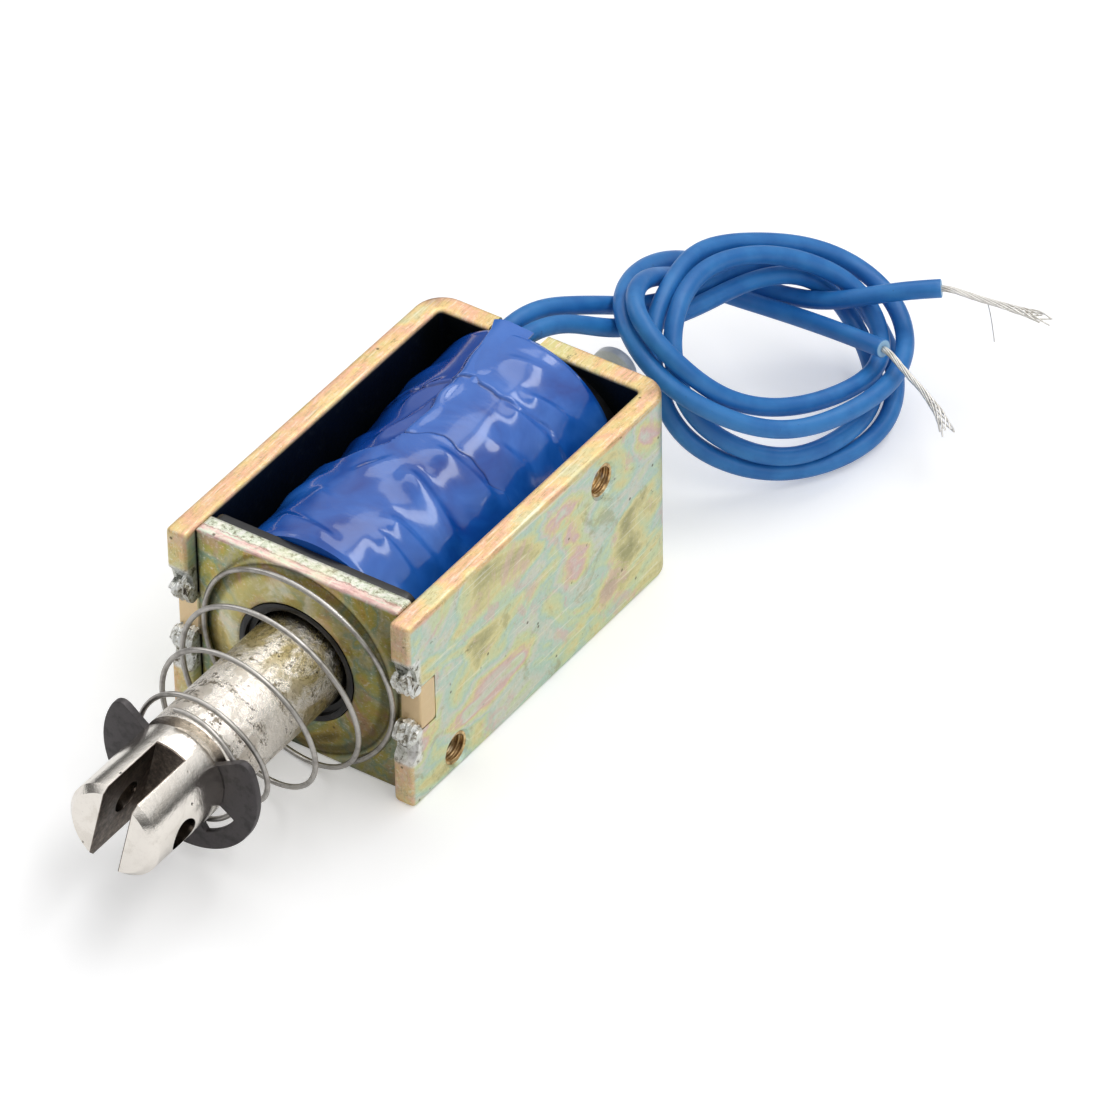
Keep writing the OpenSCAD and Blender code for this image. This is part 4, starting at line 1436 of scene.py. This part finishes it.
@dataclass
class FrontPlate:
    """The plate that closes the U, with its raised boss and its tabs.

    Attributes:
        hole_d: diameter of the hole for the collar.
        boss_r: radius of the boss at its foot.
        boss_top_r: radius at which the boss turns flat.
        boss_h: height of the boss.
        roll: radius of the plate's edges.
        thick: thickness without the boss.
    """

    hole_d: float = 15.6
    boss_r: float = 12.3
    boss_top_r: float = 8.8
    boss_h: float = 0.6
    roll: float = 0.45
    thick: float = 2.8

    def plate(self) -> Shell:
        """Draws the plate as rings that go over from its round hole to its square rim.

        Each ring lies a share of the way from the hole to the rim. Its height
        is the boss, which falls off along an ease between two radii, less a
        shallow moat round its foot. The rim turns over in quarter circles,
        and the rings come back along the rear face.

        Returns:
            The plate without tabs.
        """
        low, high = box_mm("front_plate")
        inner = box_mm("bobbin")[1][0] + 0.1
        front, rear = low[1] + self.boss_h, high[1]
        mid_z = (low[2] + high[2]) / 2
        rim = rounded_loop(2 * inner - 0.02, high[2] - low[2] - 0.02, 0.5, 4, 40)
        angle = np.arctan2(rim[:, 1], rim[:, 0])
        mouth = self.hole_d / 2 * np.stack([np.cos(angle), np.sin(angle)], -1)
        share = np.concatenate([np.linspace(0, 0.9, 30), np.linspace(0.9, 1, 14)[1:]])
        flat = mouth[None] * (1 - share[:, None, None]) + (rim * 0.999)[None] * share[:, None, None]
        r = np.linalg.norm(flat, axis=-1)
        edge = np.minimum(inner - np.abs(flat[..., 0]), (high[2] - low[2]) / 2 - np.abs(flat[..., 1]))
        fall = self.roll - np.sqrt(np.maximum(self.roll**2 - np.maximum(self.roll - edge, 0) ** 2, 0))
        lip = np.maximum(0.25 - (r - self.hole_d / 2), 0)
        boss = self.boss_h * (1 - ease(r, self.boss_top_r, self.boss_r)) - lip**2 * 2
        moat = 0.10 * np.exp(-(((r - self.boss_r - 0.1) / 0.28) ** 2))
        y_front = front - boss + moat + fall
        face = np.stack([flat[..., 0], y_front, flat[..., 1] + mid_z], -1)
        down = np.stack([
            np.stack([rim[:, 0], np.full(len(rim), y), rim[:, 1] + mid_z], -1)
            for y in (front + self.roll, rear - self.roll, rear - 0.1)
        ])
        back_share = np.linspace(0.99, 0, 6)[:, None, None]
        back_flat = mouth[None] * (1 - back_share) + rim[None] * back_share
        back = np.stack([back_flat[..., 0], np.full(back_flat.shape[:2], rear), back_flat[..., 1] + mid_z], -1)
        return Shell.grid(np.concatenate([face, down, back]), wrap_rows=True)

    def tabs(self) -> Shell:
        """Draws the two tabs as rounded bars through the walls."""
        low, high = box_mm("front_plate")
        inner = box_mm("bobbin")[1][0] - 0.6
        front = low[1] + self.boss_h
        shell = None
        for side in (1, -1):
            loop = rounded_loop(self.thick, 6.0, 0.35, 5, 6)
            reach = np.array([inner, high[0] - 0.3, high[0] - 0.12, high[0] - 0.02, high[0]])
            small = np.array([0.0, 0.0, 0.04, 0.12, 0.3])
            rows = [
                np.stack([
                    np.full(len(loop), side * x),
                    loop[:, 0] * (1 - 2 * s / self.thick) + front + self.thick / 2,
                    loop[:, 1] * (1 - s / 3) + TAB_Z,
                ], -1)
                for x, s in zip(reach, small)
            ]
            bar = Shell.grid(np.stack(rows))
            shell = bar if shell is None else shell + bar
        return shell

    def build(self) -> None:
        """Makes the plate with its tabs."""
        piece = (self.plate() + self.tabs()).piece("boss_plate", SHADED_PLATE_ZINC, Body.HOUSING, 40.0)
        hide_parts("front_plate")


# ---------------------------------------------------------------- coil


@dataclass(frozen=True)
class Crease:
    """A ridge in the film between two places, each in degrees and in distance from the front."""

    start: tuple[float, float]
    stop: tuple[float, float]
    width: float = 1.1
    height: float = 0.34

    def relief(self, degrees: np.ndarray, along: np.ndarray, radius: float) -> np.ndarray:
        """Raises a bell across the line between both places that fades at its ends.

        Args:
            degrees: direction of each point.
            along: distance of each point behind the coil's front.
            radius: radius on which arcs are measured.

        Returns:
            The height at each point.
        """
        mm = np.array([np.pi / 180 * radius, 1.0])
        line = (np.array(self.stop) - self.start) * mm
        length = float(np.hypot(*line))
        ahead = line / length
        away = np.stack([degrees - self.start[0], along - self.start[1]], -1) * mm
        run = away @ ahead
        off = away @ np.array([-ahead[1], ahead[0]]) / self.width
        off = np.where(off * ahead[0] > 0, off * 1.5, off * 0.8)
        fade = ease(run, -0.8, 1.8) * ease(run, length + 0.8, length - 2.4) * (1 + 0.15 * np.sin(run * 0.9))
        return self.height * fade * (np.exp(-(off**2)) - 0.25 * np.exp(-((np.abs(off) - 1.9) ** 2)))


@dataclass
class TapedCoil:
    """The coil under its blue tape, thicker towards the rear where the joints lie.

    Attributes:
        radius: outer radius of the tape away from the joints.
        core_r: radius inside the tape.
        lean: direction in which the joints push the tape out.
        front_rise: how far at the front.
        rear_rise: how far at the rear.
        first_lap: front band's rear edge, as directions and distances behind the coil's front.
        second_lap: the rear band's front edge.
        fold: left edge of the film drawn over the joints, as distances and directions.
        creases: the ridges in the film.
    """

    radius: float = 12.6
    core_r: float = 11.62
    lean: tuple[float, float] = (-0.37, 0.93)
    front_rise: float = 1.4
    rear_rise: float = 2.7
    first_lap: tuple[tuple[float, float], ...] = (
        (37.5, 23.0), (46.5, 22.2), (64.5, 22.4), (80.5, 22.8), (99.5, 20.8),
        (102.0, 18.7), (112.5, 16.9), (126.5, 15.4),
    )
    second_lap: tuple[tuple[float, float], ...] = (
        (33.5, 33.5), (49.0, 33.6), (60.5, 32.7), (74.5, 32.2), (92.5, 33.0), (101.5, 32.1), (116.5, 30.0),
    )
    fold: tuple[tuple[float, float], ...] = (
        (16.0, 103.0), (20.8, 100.0), (27.0, 100.5), (33.0, 102.5), (41.5, 110.0), (44.0, 116.0),
    )
    creases: tuple[Crease, ...] = (
        Crease((82.0, 20.4), (34.0, 21.0), 1.2, 0.36), Crease((84.0, 15.6), (32.0, 12.6), 1.5, 0.42),
        Crease((72.0, 8.4), (32.0, 9.0), 1.3, 0.38), Crease((70.0, 5.9), (34.0, 5.4), 0.9, 0.28),
        Crease((126.0, 3.9), (80.0, 1.4), 1.0, 0.30), Crease((69.0, 31.6), (34.0, 32.6), 1.2, 0.36),
        Crease((67.0, 34.4), (37.0, 37.0), 1.0, 0.32), Crease((107.0, 26.0), (95.0, 32.0), 0.7, 0.22),
        Crease((120.0, 20.8), (107.0, 26.4), 0.8, 0.30), Crease((124.0, 27.0), (108.0, 32.0), 0.8, 0.24),
        Crease((60.0, 26.0), (30.0, 28.5), 1.2, 0.26), Crease((105.0, 12.5), (88.0, 17.5), 1.0, 0.20),
        Crease((118.0, 9.0), (96.0, 6.0), 1.2, 0.22), Crease((45.0, 2.6), (10.0, 3.2), 0.9, 0.26),
        Crease((90.0, 37.5), (60.0, 39.6), 1.1, 0.20), Crease((28.0, 16.0), (-10.0, 19.0), 1.4, 0.34),
        Crease((150.0, 9.0), (120.0, 12.0), 1.3, 0.30), Crease((160.0, 24.0), (130.0, 22.0), 1.3, 0.30),
        Crease((155.0, 34.0), (125.0, 36.0), 1.3, 0.30), Crease((20.0, 36.0), (-15.0, 33.0), 1.4, 0.34),
    )

    def skin(self, turn: np.ndarray, along: np.ndarray, out: np.ndarray | float) -> np.ndarray:
        """Places points on the tape.

        A point lies one radius from a centre in its own direction. The
        centre is the axis below, and moves by the rise above, going over
        smoothly in between, which draws the tape tight over the joints.

        Args:
            turn: direction of each point, in radians.
            along: place of each point along the part.
            out: how far the point stands off the plain tape.

        Returns:
            The points.
        """
        low, high = box_mm("coil_tape")
        share = (along - low[1]) / (high[1] - low[1])
        rise = self.front_rise + (self.rear_rise - self.front_rise) * share
        n = np.stack([np.cos(turn), np.sin(turn)], -1)
        d = np.array(self.lean)
        lift = rise * ease(n @ d, -0.18, 0.18)
        flat = n * (self.radius + out)[..., None] + lift[..., None] * d
        return np.stack([flat[..., 0], along, flat[..., 1] + AXIS_Z], -1)

    def folds(self, degrees: np.ndarray, along: np.ndarray) -> tuple[np.ndarray, dict[str, np.ndarray]]:
        """Works out the laps, the fold over the joints and the creases of the tape.

        A lap is a step across a line round the coil, which dies away behind
        it. Left of the fold and behind the first lap the film lies lower.
        Slow waves of both coordinates buckle the whole.

        Args:
            degrees: direction of each point.
            along: distance of each point behind the coil's front.

        Returns:
            How far each point stands out, and its marks for the film's colour.
        """
        arc = degrees * (np.pi / 180 * self.radius)
        wander = 0.16 * np.sin(arc * 1.1) + 0.10 * np.sin(arc * 2.3 + 1.0)
        first = along - np.interp(degrees, *np.array(self.first_lap).T) - wander
        second = along - np.interp(degrees, *np.array(self.second_lap).T) + wander
        fold = degrees - np.interp(along, *np.array(self.fold).T) - 0.8 * np.sin(along * 0.9)
        out = 0.05 * np.sin(arc * 0.45 + 0.3 * along) + 0.05 * np.sin(along * 0.6 - arc * 0.21 + 1.0)
        out = out + 0.26 * ease(first, 0.14, -0.14) * np.exp(np.minimum(first, 0) / 5.0)
        out = out + 0.26 * ease(second, -0.14, 0.14) * np.exp(-np.maximum(second, 0) / 5.0)
        # the lower layer, which the film's colour paints in shade
        under = ease(fold, -1.2, 2.6) * ease(first, -0.4, 0.3)
        out = out - (0.85 - 0.50 * ease(along, 25.0, 29.0)) * under * ease(degrees, 172.0, 140.0)
        out = out + 0.32 * np.exp(-(((fold + 3.0) / 3.2) ** 2)) * ease(first, -0.5, 0.8)
        for crease in self.creases:
            out = out + crease.relief(degrees, along, self.radius)
        # lap lines, painted as shadow in the film's colour
        lap = 0.9 * np.exp(-(((first - 0.16) / 0.17) ** 2)) * ease(degrees, 34.0, 50.0)
        lap = np.maximum(lap, 0.85 * np.exp(-(((second + 0.16) / 0.17) ** 2)) * ease(degrees, 60.0, 80.0))
        lap = np.maximum(lap, 0.5 * np.exp(-(((fold - 1.4) / 1.3) ** 2)) * ease(first, -0.2, 0.5))
        over = ease(second, -0.1, 0.2) * (1 - under) * ease(degrees, 50.0, 75.0)
        return out, {"lap": lap, "under": under, "over": over}

    def wrap(self) -> Shell:
        """Draws the tape as a sleeve: out along the folded skin, back along the copper."""
        low, high = box_mm("coil_tape")
        rows, cols = 230, 460
        y = np.linspace(low[1] + 0.02, high[1] - 0.02, rows)
        degrees = np.linspace(-90, 270, cols, endpoint=False)
        turn, along = np.meshgrid(np.radians(degrees), y)
        out, marks = self.folds(np.degrees(turn), along - low[1])
        near = np.minimum(along - y[0], y[-1] - along)
        top = ease(np.sin(turn), -0.75, -0.25)
        hug = 0.30 * (1 - ease(near, 0.0, 0.9)) ** 2
        points = self.skin(turn, along, out * top * ease(near, 0.0, 0.8) - hug - 0.02)
        points[..., 2] = np.maximum(points[..., 2], 0.12)
        inner = np.stack([
            self.core_r * np.cos(turn[0]), np.zeros(cols), AXIS_Z + self.core_r * np.sin(turn[0]),
        ], -1)
        back = np.stack([inner + (0, y[-1], 0), inner + (0, y[0], 0)])
        blank = np.zeros((2, cols))
        return Shell.grid(
            np.concatenate([points, back]), wrap_rows=True,
            **{key: np.concatenate([value * top, blank]) for key, value in marks.items()},
        )

    def flap(self) -> Shell:
        """Draws the tongue of film that runs out over the leads.

        Its left edge follows the fold and turns down there, its right edge
        dips into the film beside it, and its underside lies one thickness in.

        Returns:
            The tongue.
        """
        low = box_mm("coil_tape")[0]
        end = low[1] + 43.4
        rows, cols = 110, 64
        along, across = np.meshgrid(
            np.linspace(30.5, end - low[1], rows), np.linspace(0, 1, cols), indexing="ij",
        )
        left = np.interp(along, *np.array(self.fold).T) + 0.6
        right = 76.0 + 12.0 * ease(along, 33.0, 43.0)
        degrees = right + (left - right) * across
        share = ease(along, 30.5, 45.0)
        lift = -0.30 + 0.62 * ease(across, 0.0, 0.75) * ease(along, 30.5, 35.0) + 0.10 * share
        ripple = 0.06 * np.sin(across * 7.0 + along * 0.5) * ease(across, 0.1, 0.5)
        lift = lift + ripple - 0.9 * ease(across, 0.90, 1.0)
        outer = self.skin(np.radians(degrees), along + low[1], lift)
        inner = self.skin(np.radians(degrees), along + low[1], lift - 0.20)
        pale = np.full((rows, cols), 1.0) * ease(across, 0.0, 0.3)
        return Shell.grid(
            np.concatenate([outer, inner[:, ::-1]], axis=1), over=np.concatenate([pale, pale[:, ::-1]], axis=1),
        )

    def build(self) -> None:
        """Makes the wrap and the strip, and dresses what lies under them."""
        piece = self.wrap().piece("tape_wrap", TAPE, Body.HOUSING, 60.0)
        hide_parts("coil_tape")
        strip = self.flap().piece("tape_flap", TAPE, Body.HOUSING, 60.0)
        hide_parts("joint_strip")
        CopperWire().cover("winding", "coil_tail_a", "coil_tail_b")
        TapedPaper().cover("joint_pad")
        SOLDER.cover("joint_a", "joint_b")
        bobbin = place_mesh(softened_copy("bobbin", 0.28), "bobbin_moulding", NYLON, Body.HOUSING, 40.0)
        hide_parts("bobbin")


# ---------------------------------------------------------------- moving pieces


@dataclass
class ReturnSpring:
    """The conical spring between the plate and the clip.

    Attributes:
        wire_d: diameter of the wire.
        big_r: mean radius at the plate.
        small_r: mean radius at the clip.
        first: angle at which the wire starts, in degrees.
        opened: angle at which the turns open.
        closed: angle from which they lie closed again.
        last: angle at which the wire ends.
        lean: how far the open turns lean forward at their highest.
        high: direction in which they do.
        gap: room at each seat.
        kept: share of its length that is left at the end of the travel; not used.
        narrowing: share of the way from the widest to the narrowest turn, at angles.
    """

    wire_d: float = 0.65
    big_r: float = 13.275
    small_r: float = 7.225
    first: float = -60.0
    opened: float = 118.0
    closed: float = 1320.0
    last: float = 1540.0
    lean: float = 2.1
    high: float = 46.0
    gap: float = 0.05
    kept: float = 0.538
    narrowing: tuple[tuple[float, float], ...] = (
        (-60.0, 0.0), (0.0, 0.0), (180.0, 0.10), (270.0, 0.16), (360.0, 0.20), (540.0, 0.34),
        (720.0, 0.45), (900.0, 0.66), (1080.0, 0.82), (1260.0, 0.95), (1540.0, 1.0),
    )

    def coil(self) -> Shell:
        """Winds the wire.

        The radius follows the list of shares, evened out over a quarter turn.
        The pitch is even between both closed ends, with a parabola into each,
        and a cosine of the angle leans the open turns to one side.

        Returns:
            The wire.
        """
        seat = box_mm("front_plate")[0][1] + 0.6
        clip = box_mm("clip")[1][1]
        rear = seat - self.wire_d / 2 - self.gap
        front = clip + self.wire_d / 2 + self.gap
        a = np.arange(self.first, self.last + 1, 5.0)
        share = relaxed(np.interp(a, *np.array(self.narrowing).T)[:, None], 9.0)[:, 0]
        r = self.big_r + (self.small_r - self.big_r) * np.maximum(share, 0)
        bend = 0.12
        u = np.clip((a - self.opened) / (self.closed - self.opened), -bend, 1 + bend)
        pitched = np.where(u < bend, (u + bend) ** 2 / (4 * bend), u)
        pitched = np.where(u > 1 - bend, 1 - (1 + bend - u) ** 2 / (4 * bend), pitched)
        swell = ease(a, self.first, 120.0) * (1 - ease(a, 1120.0, self.closed))
        lean = self.lean * r / self.big_r * np.cos(np.radians(a - self.high)) * swell
        y = np.minimum(rear, rear + (front - rear) * pitched - lean)
        t = np.radians(a)
        path = np.stack([r * np.cos(t), y, AXIS_Z + r * np.sin(t)], -1)
        size = np.full(len(a), self.wire_d / 2)
        size[[0, -1]] *= 0.86
        return Shell.tube(path, size, 14)

    def build(self) -> None:
        """Makes the spring."""
        piece = self.coil().piece("conical_spring", SPRING_STEEL, Body.HOUSING, 50.0)
        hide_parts("return_spring")
        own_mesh(piece)


@dataclass
class RetainingClip:
    """The dark stamped clip in the plunger's groove.

    Attributes:
        outer_r: outer radius.
        tongue_r: radius of the three tongues.
        arm_r: inner radius of the arms.
        mouth: angles between which the ring is open, in degrees.
        cutouts: angles between which the arms are cut back.
        edge: radius of the stamped edges.
    """

    outer_r: float = 10.4
    tongue_r: float = 4.9
    arm_r: float = 8.1
    mouth: tuple[float, float] = (30.0, 140.0)
    cutouts: tuple[tuple[float, float], ...] = ((197.0, 240.0), (290.0, 333.0))
    edge: float = 0.14

    def ring(self) -> Shell:
        """Carries the ring's section round its open arc.

        The outer radius is plain and drops in round shoulders at both horns.
        The inner radius is the tongue's, and goes out to the arm's between
        the angles of each cut-out.

        Returns:
            The clip.
        """
        low, high = box_mm("clip")
        a = np.linspace(self.mouth[1] + 0.4, self.mouth[0] + 360 - 0.4, 420)
        inner = np.full_like(a, self.tongue_r)
        for start, stop in self.cutouts:
            inner += (
                (self.arm_r - self.tongue_r) * ease(a, start - 1.5, start + 2.5)
                * (1 - ease(a, stop - 2.5, stop + 1.5))
            )
        near = np.minimum(a - a[0], a[-1] - a)
        outer = self.outer_r - 1.3 * (1 - np.sqrt(np.clip(1 - (1 - np.clip(near / 9.0, 0, 1)) ** 2, 0, 1)))
        thick = high[1] - low[1]
        width = (outer - inner)[:, None]
        base = rounded_loop(2.0, thick, self.edge, 3, 2)
        w = base[:, 0] / 2.0
        edge_shift = np.sign(w) * (0.5 - np.abs(w)) * 2.0
        r = (outer + inner)[:, None] / 2 + np.sign(w)[None] * width / 2 - edge_shift[None]
        y = base[:, 1][None] + (low[1] + high[1]) / 2
        t = np.radians(a)[:, None]
        points = np.stack(np.broadcast_arrays(r * np.cos(t), y, AXIS_Z + r * np.sin(t)), -1)
        return Shell.grid(points)

    def build(self) -> None:
        """Makes the clip."""
        piece = self.ring().piece("stamped_clip", CLIP_STEEL, Body.CLIP, 35.0)
        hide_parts("clip")


@dataclass
class MovingCore:
    """The plunger with its clevis, and the push rod and cap that it carries.

    Attributes:
        soften: how far the plunger's edges are rounded.
        cap_r: radius of the rod's cap.
        rim: thickness of the cap's rim.
        dome: height of its dome.
        rod_r: radius of the rod.
    """

    soften: float = 0.32
    cap_r: float = 2.9
    rim: float = 0.8
    dome: float = 1.2
    rod_r: float = 1.1

    def cap(self) -> Shell:
        """Turns the cap: a short rim with round corners under a quarter-egg dome."""
        rim_rear = box_mm("rod_cap")[1][1] - self.dome
        t = np.linspace(0, np.pi / 2, 14)
        dome = np.stack([self.cap_r * np.cos(t), rim_rear + self.dome * np.sin(t)], -1)
        foot = np.array([
            [0.0, rim_rear - self.rim], [self.rod_r + 0.3, rim_rear - self.rim],
            [self.cap_r - 0.12, rim_rear - self.rim], [self.cap_r - 0.03, rim_rear - self.rim + 0.08],
        ])
        profile = np.concatenate([foot, dome])
        profile[-1, 0] = 0.01
        profile[0, 0] = 0.01
        return Shell.turned(profile, AXIS_Z, 64, closed=False)

    def build(self) -> None:
        """Makes the plunger and the cap and dresses the rod."""
        plunger = place_mesh(
            softened_copy("plunger", self.soften, 4), "clevis_plunger", NICKEL, Body.PLUNGER, 40.0,
        )
        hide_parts("plunger")
        cap = self.cap().piece("rod_end_cap", WHITE_NYLON, Body.PLUNGER, 50.0)
        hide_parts("rod_cap")
        ROD_STEEL.cover("push_rod")
        core = place_mesh(softened_copy("pole_core", 0.2), "riveted_core", CORE_STEEL, Body.HOUSING, 40.0)
        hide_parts("pole_core")
        WHITE_NYLON.cover("gap_washer")


# ---------------------------------------------------------------- studio


@dataclass
class Studio:
    """Camera, lamps, floor and surroundings.

    Attributes:
        azimuth: direction of view, in degrees from +Y towards -X.
        elevation: height of the camera above the horizon, in degrees.
        roll: turn of the picture, in degrees.
        distance: from the aim to the camera, in metres.
        lens: focal length on a sensor 36 mm wide.
        aim: what the camera looks at, from the middle of the strap's base, in millimetres.
        ambient: light from all round.
        lamps: name, place and size in metres, and power of each lamp.
    """

    azimuth: float = 34.93
    elevation: float = 38.97
    roll: float = -1.05
    distance: float = 1.0992
    lens: float = 320.16
    aim: Shade = (12.37, 6.98, AXIS_Z)
    ambient: float = 0.46
    lamps: tuple[tuple[str, Shade, tuple[float, float], float], ...] = (
        ("overhead", (-0.20, 0.40, 0.90), (0.50, 0.50), 1.5),
        ("strip", (0.34, 0.17, 0.80), (1.30, 0.15), 3.0),
        ("left_box", (-0.85, -0.15, 0.55), (0.40, 0.40), 1.0),
        ("right_box", (0.85, 0.10, 0.30), (0.30, 0.30), 0.5),
    )

    def camera(self) -> None:
        """Points the camera: backwards from the aim, then a roll about the line of sight."""
        low, high = box_mm("frame")
        middle = Vector(((low[0] + high[0]) / 2, (low[1] + high[1]) / 2, low[2]))
        aim = (middle + Vector(self.aim)) * MM
        a, e, roll = (math.radians(v) for v in (self.azimuth, self.elevation, self.roll))
        back = Vector((math.sin(a) * math.cos(e), -math.cos(a) * math.cos(e), math.sin(e)))
        right = Vector((math.cos(a), math.sin(a), 0.0))
        up = back.cross(right)
        x = right * math.cos(roll) + up * math.sin(roll)
        y = up * math.cos(roll) - right * math.sin(roll)
        lens = bpy.data.cameras.new("camera")
        lens.lens, lens.sensor_width = self.lens, 36.0
        lens.clip_start, lens.clip_end = 0.05, 20.0
        eye = bpy.data.objects.new("camera", lens)
        bpy.context.scene.collection.objects.link(eye)
        facing = Matrix((x, y, back)).transposed().to_4x4()
        eye.matrix_world = Matrix.Translation(aim + back * self.distance) @ facing
        bpy.context.scene.camera = eye

    def light(self) -> None:
        """Hangs the lamps and sets the surroundings, which are white where they are seen."""
        scene = bpy.context.scene
        for name, place, (wide, deep), power in self.lamps:
            lamp = bpy.data.lights.new(name, "AREA")
            lamp.shape, lamp.size, lamp.size_y, lamp.energy = "RECTANGLE", wide, deep, power
            holder = bpy.data.objects.new(name, lamp)
            scene.collection.objects.link(holder)
            holder.location = place
            holder.rotation_mode = "QUATERNION"
            holder.rotation_quaternion = (-Vector(place)).to_track_quat("-Z", "Y")
        world = bpy.data.worlds.new("surroundings")
        scene.world = world
        r = Recipe(world)
        camera, gloss, through = self.rays(r)
        height = r.axis(r.make("ShaderNodeTexCoord"), 2)
        mirrored = height.rise(0.12, 0.62) * 0.85 + 0.10
        power = camera.either(through).either(gloss * mirrored).either(self.ambient * (1.0 - gloss))
        shader = r.make("ShaderNodeBackground", values={"Color": (1.0, 1.0, 1.0), "Strength": power})
        r.finish(shader, "World")
        scene.view_settings.view_transform = "Standard"

    @staticmethod
    def rays(r: Recipe) -> tuple[Signal, ...]:
        """Tells rays from the camera, off gloss and through glass, which see the background."""
        return tuple(r.make("ShaderNodeLightPath", out=k) for k in (0, 3, 6))

    def floor(self) -> None:
        """Lays a pale floor that keeps the shadow and glows a little where it is seen."""
        material = bpy.data.materials.new("floor_paper")
        r = Recipe(material)
        grain = r.noise(r.place(), 0.02, 2.0)
        tone = r.blend(grain, (0.90, 0.90, 0.905), (0.93, 0.93, 0.935))
        camera, gloss, through = self.rays(r)
        glow = camera * 0.26 + gloss.either(through) * 0.06
        shader = r.surface(
            Base_Color=tone, Roughness=0.7, Specular_IOR_Level=0.2,
            Emission_Color=(1.0, 1.0, 1.0), Emission_Strength=glow,
        )
        r.finish(shader)
        side = np.linspace(-3000, 3000, 3)
        x, y = np.meshgrid(side, side)
        points = np.stack([x, y, np.zeros_like(x)], -1).reshape(-1, 3)
        quads = np.array([[0, 1, 4, 3], [1, 2, 5, 4], [3, 4, 7, 6], [4, 5, 8, 7]])
        mesh = Shell(points, [quads]).mesh("floor")
        mesh.materials.append(material)
        floor = bpy.data.objects.new("floor", mesh)
        bpy.context.scene.collection.objects.link(floor)


def main() -> None:
    """Builds every sub-assembly in order."""
    logging.basicConfig(level=logging.INFO, format="%(message)s")
    studio = Studio()
    studio.camera()
    for lead in routes():
        lead.build()
    for part in (StrapFrame(), FrontPlate(), TapedCoil(), ReturnSpring(), RetainingClip(), MovingCore()):
        part.build()
        LOG.info("%s is built", type(part).__name__)
    studio.floor()
    studio.light()


if __name__ == "__main__":
    main()
